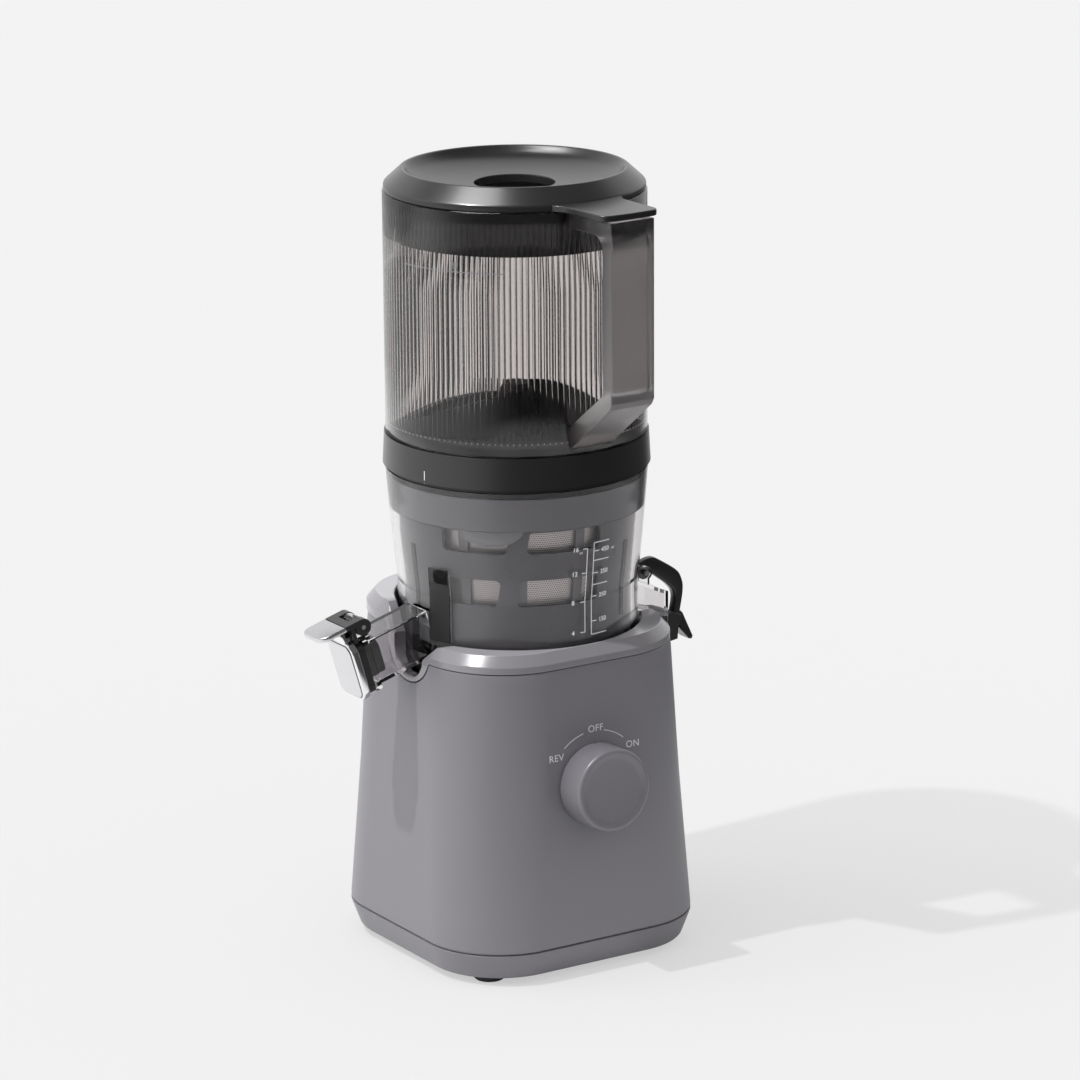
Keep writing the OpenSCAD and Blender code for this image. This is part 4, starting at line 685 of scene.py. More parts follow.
def toothRing(name, count, root, tip, low, high, rim):
    # internal gear ring: tapered teeth that point inwards
    loop = [(r, 90 + 360 * (k + part) / count) for k in range(count)
            for r, part in ((tip, -0.34), (root, -0.15), (root, 0.15), (tip, 0.34))]
    points = [(*(v * mm for v in polar(r, a)), z * mm)
              for inner, a in loop for r, z in ((inner, low), (inner, high), (rim, high), (rim, low))]
    n = len(loop)
    faces = [(4 * k + j, 4 * ((k + 1) % n) + j, 4 * ((k + 1) % n) + (j + 1) % 4, 4 * k + (j + 1) % 4)
             for k in range(n) for j in range(4)]
    return meshObject(name, points, faces, angle=20)


def makeCage():
    c = cage
    (foot, low), *middle, (top, high) = c["levels"]
    floorZ = low + c["floorT"]
    outline = [(foot - 0.6, low), (foot, low + 0.6)] + middle
    outline += [(top - 0.05, high - 0.7), (top - 0.6, high), (top - c["wall"] + 0.4, high)]
    outline += [(r - c["wall"], z) for r, z in reversed(middle)]
    outline += [(c["inside"], floorZ), (c["mouth"], floorZ), (c["mouth"], low)]
    wall = revolve("cageWall", outline, 240, angle=30)
    # windows with round corners, parted by the slanted rib
    (ribA, ribZ), (ribB, ribY) = c["ribLow"], c["ribTop"]
    cuts = []
    for z0, z1 in c["rows"]:
        scale = math.degrees(1 / cageRadius((z0 + z1) / 2))
        rib0, rib1 = ((ribA + (ribB - ribA) * (z - ribZ) / (ribY - ribZ)) / scale for z in (z0, z1))
        start, end, w = c["windowA"] / scale, (c["windowA"] + c["sweep"]) / scale, c["ribW"] / 2
        for shape in ([(start, z0), (rib0 - w, z0), (rib1 - w, z1), (start, z1)],
                      [(rib0 + w, z0), (end, z0), (end, z1), (rib1 + w, z1)]):
            shape = splitEdges(roundCorners(shape, c["corner"], 4), 2.0)
            cuts += [windowCutter("window", [(x * scale + k * 360 / c["blades"], z) for x, z in shape])
                     for k in range(c["blades"])]
    wall = cutOut(wall, joinPieces("windows", cuts))
    smoothByAngle(wall, 30)
    ring = toothRing("teeth", c["teeth"], c["rootR"], c["tipR"], low, floorZ, c["mouth"] + 0.1)
    return joinPieces("cageWall", [wall, ring])


dress(makeCage(), "wiper", "inner_grey", cagePlastic, "wiper_cage")


def onWall(obj, radius, azimuth, z, lift=0.05):
    # wraps a flat mesh round a wall; azimuth is in degrees from -Y towards +X, radius may be a function of z
    for v in obj.data.vertices:
        zz = z + v.co.y / mm
        r = (radius(zz) if callable(radius) else radius) + lift + v.co.z / mm
        a = math.radians(azimuth) + v.co.x / mm / r
        v.co = (r * math.sin(a) * mm, -r * math.cos(a) * mm, zz * mm)
    return obj


def bar(x0, y0, x1, y1, width=0.5, thick=0.08):
    # a thin printed line between two points, as a closed slab in short parts that can follow a wall
    length = math.hypot(x1 - x0, y1 - y0)
    nx, ny = -(y1 - y0) / length * width / 2, (x1 - x0) / length * width / 2
    parts = max(1, math.ceil(length / 1.5))
    points = []
    for k in range(parts + 1):
        x, y = x0 + (x1 - x0) * k / parts, y0 + (y1 - y0) * k / parts
        points += [((x + nx * side) * mm, (y + ny * side) * mm, z * mm)
                   for side, z in ((-1, 0), (1, 0), (1, thick), (-1, thick))]
    faces = [(4 * k + j, 4 * k + 4 + j, 4 * k + 4 + (j + 1) % 4, 4 * k + (j + 1) % 4)
             for k in range(parts) for j in range(4)]
    faces += [(3, 2, 1, 0), tuple(4 * parts + j for j in range(4))]
    return meshObject("bar", points, faces, smooth=False)


def makeStrainerTab():
    # half-round tab below the strainer's collar, seen through the bowl
    top, depth, half = 5.0, 11.0, 19.0
    arc = [(half * math.cos(math.radians(a)), -depth * math.sin(math.radians(a))) for a in range(0, 181, 6)]
    outline = splitEdges([(half, top)] + arc + [(-half, top)], 2.0)
    tab = plate("strainerTab", outline, 1.0, 0.35)
    rim = [bar(x0, y0, x1, y1, 0.9, 0.5) for (x0, y0), (x1, y1) in zip(arc, arc[1:])]
    for piece in rim:
        piece.data.transform(shift(0, 0, 0.4))
    return onWall(joinPieces("strainerTab", [tab] + rim), bowl["tabR"], bowl["tabAt"], bowl["tabZ"], 0)


dress(makeStrainerTab(), "bowl", "inner_grey", paleCagePlastic)


def makeScale():
    # the fill scale printed on the front of the bowl: ounces on the left, millilitres on the right
    left, right, digits, units = 0.8, 5.2, 3.6, 2.0
    parts = [bar(left, 196.3, left, 245.3), bar(right, 194.2, right, 248.0)]
    words = [("oz", -3.4, 243.2, units), ("ml", 19.6, 242.6, units)]
    for label, z in (("16", 245.2), ("12", 230.9), ("8", 213.9), ("4", 196.3)):
        parts.append(bar(left - 3.0, z, left, z))
        words.append((label, -6.8, z, digits))
    for label, z in (("450", 243.0), ("350", 230.0), ("250", 216.1), ("150", 201.8)):
        parts.append(bar(right, z, right + 3.6, z))
        words.append((label, 13.4, z, digits))
    for z in (248.0, 237.4, 223.1, 194.2):
        parts.append(bar(right, z, right + 11.2, z))
    for label, x, z, size in words:
        text = textMesh("number", label, size, 0.06, size * 0.022)
        text.data.transform(shift(x, z, 0))
        parts.append(text)
    return onWall(joinPieces("bowlScale", parts), bowlRadius, 0, 0, 0.08)


dress(makeScale(), "bowl", "clear_plastic", printAndGlintWhite)
print("cage, tab and scale done")

cap = {
    "w": 27.0, "h": 36.0, "r": 6.0, "from": 44.3, "t": 5.4, "up": -0.5, "tongueTop": 27.65, "tongueT": 3.0,
    "tongueLen": 20.0, "tongueW": 23.0, "tilt": 16.5, "sweepW": 16.0, "spoutX": -70.0, "spoutZ": 193.0,
}
spoutPlace = shift(cap["spoutX"], bowl["outletY"], cap["spoutZ"]) @ rotate(-cap["tilt"], "Y")
# local Z of a face plate points out of the spout, local Y up
capFace = spoutPlace @ Matrix(((0, 0, -1), (-1, 0, 0), (0, 1, 0))).to_4x4()
capSide = spoutPlace @ Matrix(((-1, 0, 0), (0, 0, 1), (0, 1, 0))).to_4x4()


def capLayer(name, shrink, start, end, bevel, material):
    c = cap
    w, h = (c["w"] - shrink) / 2, (c["h"] - shrink) / 2
    outline = roundCorners([(-w, -h), (w, -h), (w, h), (-w, h)], c["r"] - shrink / 2 + 0.4, 8)
    return paint(plate(name, outline, end - start, bevel, capFace @ shift(0, c["up"], (start + end) / 2)), material)


def makeCap():
    c = cap
    back = c["from"]
    front, end, side = back + c["t"], back + c["tongueLen"], c["tongueW"] / 2
    # polished frame, a dark joint and the satin face set in it
    layers = [capLayer("frame", 0, back, front - 0.7, 1.1, polishedChrome),
              capLayer("joint", 3.0, front - 2.0, front - 0.45, 0.1, blackAbs),
              capLayer("face", 3.8, front - 2.0, front, 0.5, satinChrome)]
    tongue = roundCorners([(back + 2.9, -side), (end, -side), (end, side), (back + 2.9, side)], {1: 6.5, 2: 6.5}, 8)
    flat = spoutPlace @ shift(0, 0, c["tongueTop"] - c["tongueT"] / 2) @ rotate(180, "Z")
    layers.append(paint(plate("tongue", tongue, c["tongueT"], 0.9, flat), satinChrome))
    # the frame sweeps up and out into the tongue
    sweep = [(back + 0.1, 14.5), (front - 0.9, 14.5), (front - 0.6, 18.0), (front + 0.1, 21.0), (front + 1.8, 23.4),
             (front + 5.2, 24.9), (front + 5.2, 25.6), (back + 3.0, 25.6), (back + 3.0, 20.0), (back + 0.1, 20.0)]
    layers.append(paint(plate("sweep", sweep, c["sweepW"], 0.5, capSide), polishedChrome))
    return joinPieces("juiceCap", layers)


dress(makeCap(), "juice_cap", "chrome", None, "cap_plate")

lever = {
    "outline": [(77, 202), (84, 204), (92, 199), (100, 192.5), (103, 187), (102, 178), (100, 168.5), (104.5, 168.5),
                (107, 178), (109, 190), (107.8, 197), (104, 202.5), (92.5, 210), (88, 212), (82, 211), (77, 208)],
    "tab": [(105.5, 178), (108.5, 176.5), (114.5, 160.5), (112, 159.5), (103, 169.5)],
    "pivot": (80.0, 205.0), "w": 5.6, "hubR": 4.2, "hubW": 8.6,
}
gateSide = shift(0, bowl["outletY"], 0) @ rotate(90, "X")


def smoothLoop(points):
    # closed curve through the points
    made = []
    n, steps = len(points), 5
    for k in range(n):
        a, b, c, d = (Vector(points[(k + j - 1) % n]) for j in range(4))
        for t in (j / steps for j in range(steps)):
            made.append(tuple(0.5 * (2 * b + (c - a) * t + (2 * a - 5 * b + 4 * c - d) * t * t
                                     + (3 * b - a - 3 * c + d) * t ** 3)))
    return made


def makeLever():
    l = lever
    arm = plate("arm", smoothLoop(l["outline"]), l["w"], 1.1, gateSide)
    r, w, (x, z) = l["hubR"], l["hubW"] / 2, l["pivot"]
    hub = revolve("hub", [(1.6, -w), (r - 0.5, -w), (r, -w + 0.5), (r, w - 0.5), (r - 0.5, w), (1.6, w)], 48)
    hub.data.transform(shift(x, bowl["outletY"], z) @ rotate(90, "X"))
    # the finger tab is the hull of a narrow end on the arm and a wide free end
    mesh = bpy.data.meshes.new("fingerTab")
    with editing(mesh) as work:
        t = l["tab"]
        for half, spots in ((2.5, (t[0], t[1], t[4])), (5.5, (t[2], t[3], t[4]))):
            for px, pz in spots:
                for side in (-1, 1):
                    work.verts.new(gateSide @ Vector((px * mm, pz * mm, side * half * mm)))
        bmesh.ops.convex_hull(work, input=work.verts)
        bmesh.ops.dissolve_limit(work, angle_limit=0.02, verts=work.verts, edges=work.edges)
        bmesh.ops.bevel(work, geom=work.edges[:], offset=0.7 * mm, segments=3, affect="EDGES")
    tab = addObject("fingerTab", mesh)
    smoothByAngle(tab, 40)
    return joinPieces("pulpLever", [arm, hub, tab])


dress(makeLever(), "pulp_gate", "black_plastic", blackAbs, "gate_lever")
print("cap and gate done")

hopper = {
    "turn": 2.0, "r": 74.0, "wall": 3.4, "flutes": 134, "depth": 0.32, "bottom": 300.3, "fluteZ": 307.8, "top": 437.8,
    "reach": 113.0, "grip": 9.0, "width": 29.0, "arm": 9.0, "foot": 303.7, "elbow": 334.9, "web": (377.5, 382.5),
    "rings": (345.0, 391.0), "glintBeadR": 0.42, "glintBeadAt": 70.9, "fillAt": -62, "fillZ": 404, "arrowAt": -59,
    "arrowZ": 403.4, "alignR": 75.45, "alignAt": -75, "alignZ": 285.6,
}
turnHopper = rotate(hopper["turn"], "Z")
# local X of a front plate points outwards along -Y, local Y is up
frontPlate = turnHopper @ Matrix(((0, 0, 1), (-1, 0, 0), (0, 1, 0))).to_4x4()


def newTree(name, **given):
    # a geometry tree and its inputs
    tree = bpy.data.node_groups.new(name, "GeometryNodeTree")
    for label, kind in given.items():
        tree.interface.new_socket(label, in_out="INPUT", socket_type="NodeSocket" + kind)
    tree.interface.new_socket("Geometry", in_out="OUTPUT", socket_type="NodeSocketGeometry")
    return tree, addNode(tree, "NodeGroupInput").outputs


def finishTree(tree, geometry, finish):
    real = addNode(tree, "GeometryNodeRealizeInstances", inputs={"Geometry": geometry})
    done = addNode(tree, "GeometryNodeSetMaterial", inputs={"Geometry": real, "Material": finish})
    addNode(tree, "NodeGroupOutput", inputs={0: done})
    return tree


def fluteTree():
    # moves the inner wall outwards between the ridges; the attribute says which points belong to it
    tree, given = newTree("flutedWall", Geometry="Geometry", Flutes="Float", Depth="Float", Finish="Material")
    spot = addNode(tree, "GeometryNodeInputPosition")
    x, y, _ = addNode(tree, "ShaderNodeSeparateXYZ", inputs={0: spot}).outputs
    turn = addNode(tree, "ShaderNodeMath", {"operation": "ARCTAN2"}, {0: y, 1: x})
    wave = addNode(tree, "ShaderNodeMath", {"operation": "MULTIPLY"}, {0: turn, 1: given["Flutes"]})
    half = addNode(tree, "ShaderNodeMath", {"operation": "MULTIPLY"}, {0: wave, 1: 0.5})
    sine = addNode(tree, "ShaderNodeMath", {"operation": "SINE"}, {0: half})
    crest = addNode(tree, "ShaderNodeMath", {"operation": "ABSOLUTE"}, {0: sine})
    thin = addNode(tree, "ShaderNodeMath", {"operation": "POWER"}, {0: crest, 1: 30.0})
    lobe = addNode(tree, "ShaderNodeMath", {"operation": "SUBTRACT"}, {0: 1.0, 1: thin})
    mask = addNode(tree, "GeometryNodeInputNamedAttribute", {"data_type": "FLOAT"}, {"Name": "fluted"})
    much = addNode(tree, "ShaderNodeMath", {"operation": "MULTIPLY"}, {0: lobe, 1: mask})
    far = addNode(tree, "ShaderNodeMath", {"operation": "MULTIPLY"}, {0: much, 1: given["Depth"]})
    flat = addNode(tree, "ShaderNodeVectorMath", {"operation": "MULTIPLY"}, {0: spot, 1: (1, 1, 0)})
    outward = addNode(tree, "ShaderNodeVectorMath", {"operation": "NORMALIZE"}, {0: flat})
    push = addNode(tree, "ShaderNodeVectorMath", {"operation": "SCALE"}, {0: outward, "Scale": far})
    moved = addNode(tree, "GeometryNodeSetPosition", inputs={"Geometry": given["Geometry"], "Offset": push})
    return finishTree(tree, moved, given["Finish"])


def useTree(obj, tree, values):
    # sets the modifier's inputs by socket identifier
    step = obj.modifiers.new("nodes", "NODES")
    step.node_group = tree
    for item in tree.interface.items_tree:
        if item.item_type == "SOCKET" and item.in_out == "INPUT" and item.name in values:
            step[item.identifier] = values[item.name]
    return toMesh(obj)


def makeHopper():
    h = hopper
    r, inner, top, low, fluteZ = h["r"], h["r"] - h["wall"], h["top"], h["bottom"], h["fluteZ"]
    z1, z2 = h["rings"]
    outline = [(r - 0.6, low), (r, low + 0.6), (r, z1), (r, z2), (r, top - 0.8), (r - 0.8, top), (inner + 1.6, top),
               (inner + 0.9, top - 0.7), (inner, top - 2.2), (inner, top - 10.0), (inner, z2), (inner, z1),
               (inner, fluteZ + 1.2), (inner, fluteZ), (inner - 0.15, fluteZ - 0.4), (inner - 0.15, low)]
    wall = revolve("hopperWall", outline, h["flutes"] * 12)
    mask = wall.data.attributes.new("fluted", "FLOAT", "POINT")
    for k, v in enumerate(wall.data.vertices):
        away, z = math.hypot(v.co.x, v.co.y) / mm, v.co.z / mm
        mask.data[k].value = 1.0 if abs(away - inner) < 0.05 and fluteZ + 1 < z < top - 9 else 0.0
    wall = useTree(wall, fluteTree(), {
        "Flutes": float(h["flutes"]), "Depth": h["depth"] * mm, "Finish": smokeCopolyester})
    smoothByAngle(wall, 50)
    return wall


def makeHandle():
    h = hopper
    reach, gripIn, root, half = h["reach"], h["reach"] - h["grip"], h["r"] - 1.2, h["width"] / 2
    armTop, armZ, elbow, foot = h["top"] - 0.6, h["top"] - 0.6 - h["arm"], h["elbow"], h["foot"]
    outline = [(root, foot), (reach - 2, elbow - 1.6), (reach, elbow + 2), (reach, armTop), (root, armTop),
               (root, armZ), (gripIn, armZ), (gripIn, elbow + 5.6), (root, foot + 13.5)]
    grip = plate("hopperHandle", roundCorners(outline, {1: 3, 2: 3, 6: 8, 7: 6}, 6), h["width"], 1.2, frontPlate)
    # the grip is moulded hollow, with a web half way up
    webLow, webHigh = h["web"]
    for low, high in ((elbow - 12, webLow), (webHigh, armZ - 4)):
        grip = cutOut(grip, boxSolid("core", (gripIn + 1.8, low, -half + 4.5), (reach - 1.8, high, half - 4.5),
                                     frontPlate))
    smoothByAngle(grip, 35)
    return grip


dress(makeHopper(), "hopper", "smoke_plastic", smokeCopolyester, "hopper")
dress(makeHandle(), "hopper", "smoke_plastic", hazedCopolyester)
print("hopper done")


def glintBeadTree():
    # white beads at the foot of the flutes: painted glints where the flutes' rounded ends catch the light
    tree, given = newTree("paintedGlintBeads", Count="Int", Ring="Float", Bead="Float", Height="Float", Finish="Material")
    ring = addNode(tree, "GeometryNodeMeshCircle", inputs={"Vertices": given["Count"], "Radius": given["Ring"]})
    bead = addNode(tree, "GeometryNodeMeshIcoSphere", inputs={"Radius": given["Bead"], "Subdivisions": 2})
    level = addNode(tree, "ShaderNodeCombineXYZ", inputs={"Z": given["Height"]})
    raised = addNode(tree, "GeometryNodeTransform", inputs={"Geometry": ring, "Translation": level})
    spread = addNode(tree, "GeometryNodeInstanceOnPoints", inputs={"Points": raised, "Instance": bead})
    return finishTree(tree, spread, given["Finish"])


def makeGlintBeads():
    base = addObject("paintedGlintBeads", bpy.data.meshes.new("paintedGlintBeads"))
    made = useTree(base, glintBeadTree(), {
        "Count": hopper["flutes"], "Ring": hopper["glintBeadAt"] * mm, "Bead": hopper["glintBeadR"] * mm,
        "Height": (hopper["fluteZ"] + 0.2) * mm, "Finish": printAndGlintWhite})
    smoothByAngle(made, 60)
    return made


def makeFillMark():
    # the line and the arrow head of the largest filling, moulded very low
    line, *arrow = (bar(-half, y, half, y, 0.5, 0.05) for half, y in (
        (33, 0), (2.2, 5.6), (2.2, 4.6), (1.6, 3.6), (1.0, 2.6), (0.4, 1.7)))
    h = hopper
    return joinPieces("fillMark", [onWall(line, h["r"], h["fillAt"], h["fillZ"]),
                                   onWall(joinPieces("arrow", arrow), h["r"], h["arrowAt"], h["arrowZ"])])


def makeAlignMark():
    mark = onWall(bar(0, -3.5, 0, 3.5, 0.55, 0.1), hopper["alignR"], hopper["alignAt"], hopper["alignZ"])
    mark.name = "alignMark"
    return mark


# the glint beads are a painted highlight, white where the flute ends shine
dress(makeGlintBeads(), "hopper", "smoke_plastic", printAndGlintWhite)
dress(makeFillMark(), "hopper", "smoke_plastic", mouldedMark)
dress(makeAlignMark(), "hopper", "black_plastic", printGrey)
print("hopper marks done")

lid = {"z": 437.8, "rim": 63.9, "hole": 22.5, "edge": 73.3, "tab": 38.0, "tabT": 3.5, "reach": 112.5}


def makeLid():
    l = lid
    z, hole, rim, edge = l["z"] + 0.05, l["hole"], l["rim"], l["edge"]
    # from the feed hole out over the dish and the rim to the edge, and back underneath; heights above z
    outline = [(hole, -1.5), (hole, 2.2), (hole + 0.25, 2.75), (hole + 0.8, 3.0), (hole + 3.2, 3.0), (hole + 6, 3.1),
               (40, 3.9), (rim - 14, 5.0), (rim - 8, 6.9), (rim - 5, 8.6), (rim - 3.4, 10.4), (rim - 2.4, 11.7),
               (rim - 1.7, 12.1), (rim - 0.6, 12.15), (rim + 0.1, 11.8), (edge - 1.0, 4.3), (edge - 0.3, 3.5),
               (edge, 2.8), (edge, 0.5), (edge - 0.4, 0), (edge - 8, 0), (rim - 2, 3.9), (rim - 14, 1.8),
               (hole + 2.6, 0.2), (hole + 2.6, -1.5)]
    disc = revolve("lidDisc", [(r, z + up) for r, up in outline], 224, angle=35)
    half, root, end = l["tab"] / 2, l["tab"] / 2 + 4, l["reach"] - 6
    right = [(69.0, root), (70.8, root), (72.5, root - 1.2), (75.0, half + 1.3), (79, half + 0.4), (86, half),
             (end, half)]
    right += [(end + y, half - 6 + x) for x, y in (polar(6, a) for a in range(15, 90, 15))]
    right += [(l["reach"] + 0.25, 8), (l["reach"] + 0.45, 0)]
    plan = right + [(x, -y) for x, y in reversed(right[:-1])]
    tabPlace = turnHopper @ shift(0, 0, z + l["tabT"] / 2) @ rotate(-90, "Z")
    return flatFaces(joinPieces("lidCover", [disc, plate("lidTab", plan, l["tabT"], 0.7, tabPlace)]))


dress(makeLid(), "lid", "black_plastic", blackAbs, "lid")
print("lid done")

light = {
    "key": (-0.854, 0.0, 1.697), "radius": 0.018, "watts": 88.0, "keyLevel": 0.55, "sky": 0.92, "skyOnFloor": 1.17,
    "window": (-0.814, 0.470, 0.342), "windowLevel": 3.0, "windowSize": 9.0, "box": (-0.341, 0.116, 0.933),
    "boxLevel": 10.0, "wall": (0.539, 0.842, 0), "behind": (-0.574, 0.819, 0), "seen": 0.22, "white": "#f4f4f4",
    "darkSector": 0.02, "brightSector": 0.88, "sectors": 8.0,
}
smooth = {"interpolation_type": "SMOOTHSTEP"}
view = {"yaw": 32.61, "pitch": 15.18, "roll": -0.39, "focal": 4996.7, "pixels": 1080, "film": 36,
        "place": (-1.4634, -2.3112, 0.9763)}


def towards(tree, way, aim):
    # 1 straight at a direction, falling to 0 at a right angle
    made = addNode(tree, "ShaderNodeVectorMath", {"operation": "DOT_PRODUCT"}, {0: way, 1: aim})
    return addNode(tree, "ShaderNodeMath", {"operation": "MAXIMUM"}, {0: made.outputs["Value"], 1: 0.0})


def sectors(tree, x, y):
    # bright and dark sectors of the studio by turns, which clear plastic needs to show its edges
    count = light["sectors"]
    turn = addNode(tree, "ShaderNodeMath", {"operation": "ARCTAN2"}, {0: y, 1: x})
    wave = addNode(tree, "ShaderNodeMath", {"operation": "MULTIPLY_ADD"}, {
        0: turn, 1: -count, 2: count * math.radians(90 - view["yaw"] + 1.3)})
    sine = addNode(tree, "ShaderNodeMath", {"operation": "SINE"}, {0: wave})
    return addNode(tree, "ShaderNodeMapRange", smooth, {"Value": sine, "From Min": -0.08, "From Max": 0.08})


def glanced(tree, ray):
    # reflections inside a clear wall see a darker room, so that black pieces behind it stay black
    once = addNode(tree, "ShaderNodeMath", {"operation": "MINIMUM"}, {0: ray["Glossy Depth"], 1: 1.0})
    return addNode(tree, "ShaderNodeMath", {"operation": "MULTIPLY_ADD"}, {0: once, 1: -0.8, 2: 1.0})


def makeFloor():
    size = 6.0
    mesh = bpy.data.meshes.new("floor")
    mesh.from_pydata([(-size, -size, 0), (size, -size, 0), (size, size, 0), (-size, size, 0)], [], [(0, 1, 2, 3)])
    floor = addObject("floor", mesh)
    material, tree, spot = newMaterial("palePaper")
    white, share = toLinear(light["white"])[0], light["seen"]
    # the lamp's own fall-off is taken out of the glow, so that the lit paper is even and only the shadow shows
    away = addNode(tree, "ShaderNodeVectorMath", {"operation": "DISTANCE"}, {0: spot, 1: light["key"]})
    near = addNode(tree, "ShaderNodeMath", {"operation": "DIVIDE"}, {
        0: Vector(light["key"]).length, 1: away.outputs["Value"]})
    fall = addNode(tree, "ShaderNodeMath", {"operation": "POWER"}, {0: near, 1: 3.0})
    lit = addNode(tree, "ShaderNodeMath", {"operation": "MULTIPLY"}, {0: fall, 1: share * light["keyLevel"]})
    rest = addNode(tree, "ShaderNodeMath", {"operation": "SUBTRACT"}, {0: white - share * light["skyOnFloor"], 1: lit})
    glow = addNode(tree, "ShaderNodeEmission", inputs={"Color": (1, 1, 1, 1), "Strength": rest})
    soft = addNode(tree, "ShaderNodeBsdfDiffuse", inputs={"Color": (share,) * 3 + (1,)})
    seen = addNode(tree, "ShaderNodeAddShader", inputs={0: glow, 1: soft})
    # through clear plastic: the near paper is bright, the far paper is parted into bright and dark
    x, y, _ = addNode(tree, "ShaderNodeSeparateXYZ", inputs={0: spot}).outputs
    radius = addNode(tree, "ShaderNodeVectorMath", {"operation": "LENGTH"}, {0: spot}).outputs["Value"]
    far = addNode(tree, "ShaderNodeMapRange", smooth, {"Value": radius, "From Min": 1.03, "From Max": 1.10})
    dim = addNode(tree, "ShaderNodeMath", {"operation": "SUBTRACT"}, {0: 1.0, 1: sectors(tree, x, y)})
    loss = addNode(tree, "ShaderNodeMath", {"operation": "MULTIPLY"}, {0: far, 1: dim})
    level = addNode(tree, "ShaderNodeMapRange", inputs={
        "Value": loss, "To Min": light["brightSector"], "To Max": light["darkSector"]})
    ray = addNode(tree, "ShaderNodeLightPath").outputs
    kept = addNode(tree, "ShaderNodeMix", {"data_type": "FLOAT"}, {0: far, 2: 1.0, 3: glanced(tree, ray)})
    inner = addNode(tree, "ShaderNodeMath", {"operation": "MULTIPLY"}, {0: level, 1: kept})
    through = addNode(tree, "ShaderNodeEmission", inputs={"Color": (1, 1, 1, 1), "Strength": inner})
    # for reflections and bounce: pale paper near the object and behind it, a dark room in front
    side = addNode(tree, "ShaderNodeVectorMath", {"operation": "NORMALIZE"}, {0: spot})
    back = addNode(tree, "ShaderNodeVectorMath", {"operation": "DOT_PRODUCT"}, {0: side, 1: light["behind"]})
    behind = addNode(tree, "ShaderNodeMapRange", smooth, {
        "Value": back.outputs["Value"], "From Min": -0.5, "From Max": 0.5})
    around = addNode(tree, "ShaderNodeMapRange", smooth, {
        "Value": radius, "From Min": 0.32, "From Max": 0.62, "To Min": 1.0, "To Max": 0.0})
    pale = addNode(tree, "ShaderNodeMath", {"operation": "MAXIMUM"}, {0: behind, 1: around})
    tone = addNode(tree, "ShaderNodeMapRange", smooth, {"Value": pale, "To Min": 0.05, "To Max": 0.68})
    shade = addNode(tree, "ShaderNodeCombineXYZ", inputs={"X": tone, "Y": tone, "Z": tone})
    paper = addNode(tree, "ShaderNodeBsdfDiffuse", inputs={"Color": shade})
    other = addNode(tree, "ShaderNodeMixShader", inputs={0: ray["Is Transmission Ray"], 1: paper, 2: through})
    finishMaterial(material, addNode(tree, "ShaderNodeMixShader", inputs={0: ray["Is Camera Ray"], 1: other, 2: seen}))
    mesh.materials.append(material)


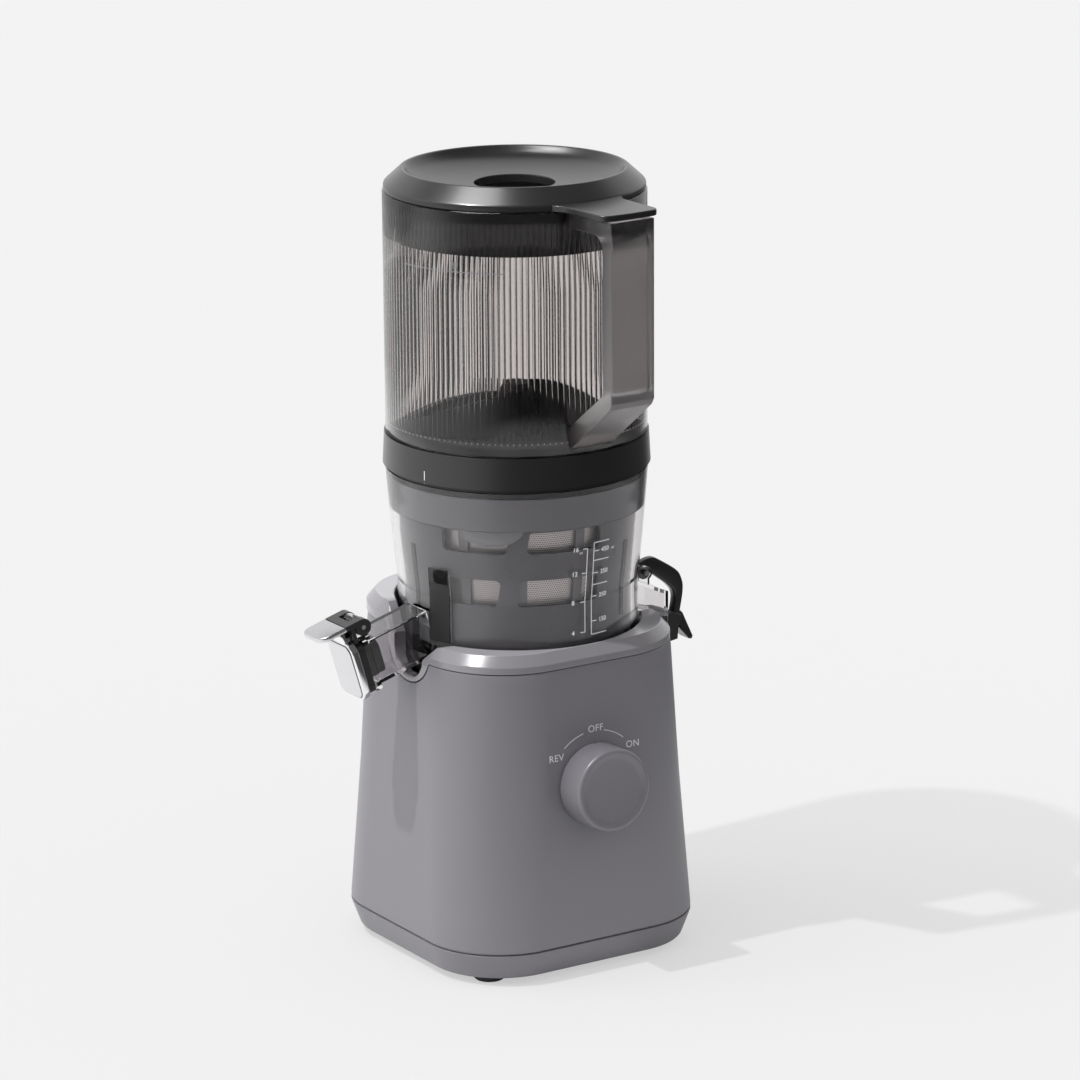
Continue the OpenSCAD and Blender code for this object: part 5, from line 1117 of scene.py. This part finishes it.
def makeWorld():
    world = bpy.data.worlds.new("studio")
    bpy.context.scene.world = world
    world.use_nodes = True
    tree = world.node_tree
    tree.nodes.clear()
    way = addNode(tree, "ShaderNodeNewGeometry")
    ray = addNode(tree, "ShaderNodeLightPath").outputs
    x, y, height = addNode(tree, "ShaderNodeSeparateXYZ", inputs={0: way}).outputs
    # a wide window on the left and a little behind
    glare = addNode(tree, "ShaderNodeMath", {"operation": "POWER"}, {
        0: towards(tree, way, light["window"]), 1: light["windowSize"]})
    window = addNode(tree, "ShaderNodeMath", {"operation": "MULTIPLY"}, {0: glare, 1: light["windowLevel"]})
    sky = addNode(tree, "ShaderNodeMath", {"operation": "ADD"}, {0: window, 1: light["sky"]})
    # reflections: a white wall behind, a dark room above and in front, and a bright box up on the left
    wide = addNode(tree, "ShaderNodeMapRange", smooth, {
        "Value": towards(tree, way, light["wall"]), "From Min": 0.25, "From Max": 0.6})
    low = addNode(tree, "ShaderNodeMapRange", smooth, {
        "Value": height, "From Min": 0.55, "From Max": 0.85, "To Min": 1.0, "To Max": 0.0})
    wall = addNode(tree, "ShaderNodeMath", {"operation": "MULTIPLY"}, {0: wide, 1: low})
    room = addNode(tree, "ShaderNodeMapRange", inputs={"Value": wall, "To Min": 0.12, "To Max": 0.92})
    box = addNode(tree, "ShaderNodeMapRange", smooth, {
        "Value": towards(tree, way, light["box"]), "From Min": 0.968, "From Max": 0.976, "To Max": light["boxLevel"]})
    bright = addNode(tree, "ShaderNodeMath", {"operation": "ADD"}, {0: room, 1: box})
    mirror = addNode(tree, "ShaderNodeMath", {"operation": "MULTIPLY_ADD"}, {0: window, 1: 0.5, 2: bright})
    # through clear plastic: the sectors
    parted = addNode(tree, "ShaderNodeMapRange", inputs={
        "Value": sectors(tree, x, y), "To Min": light["darkSector"], "To Max": light["brightSector"]})
    outside = addNode(tree, "ShaderNodeMath", {"operation": "ADD"}, {0: parted, 1: window})
    clear = addNode(tree, "ShaderNodeMath", {"operation": "MULTIPLY"}, {0: outside, 1: glanced(tree, ray)})
    plain, shader = (1, 1, 1, 1), None
    for kind, colour, strength in ((None, plain, sky), ("Is Glossy Ray", plain, mirror),
                                   ("Is Transmission Ray", plain, clear),
                                   ("Is Camera Ray", toLinear(light["white"]), 1.0)):
        made = addNode(tree, "ShaderNodeBackground", inputs={"Color": colour, "Strength": strength})
        shader = addNode(tree, "ShaderNodeMixShader", inputs={0: ray[kind], 1: shader, 2: made}) if kind else made
    addNode(tree, "ShaderNodeOutputWorld", inputs={"Surface": shader})


def makeKey():
    # one bare lamp high on the left gives the long crisp shadow
    lamp = bpy.data.lights.new("key", "POINT")
    lamp.energy, lamp.shadow_soft_size = light["watts"], light["radius"]
    addObject("key", lamp).location = light["key"]


def makeCamera():
    data = bpy.data.cameras.new("camera")
    data.sensor_width, data.lens = view["film"], view["focal"] / view["pixels"] * view["film"]
    data.clip_start, data.clip_end = 0.05, 60
    camera = addObject("camera", data)
    aim = rotate(-view["yaw"], "Z") @ rotate(90 - view["pitch"], "X") @ rotate(view["roll"], "Z")
    camera.matrix_world = Matrix.Translation(view["place"]) @ aim
    bpy.context.scene.camera = camera


makeFloor()
makeWorld()
makeKey()
makeCamera()
bpy.context.scene.view_settings.view_transform = "Standard"
print("stage done")
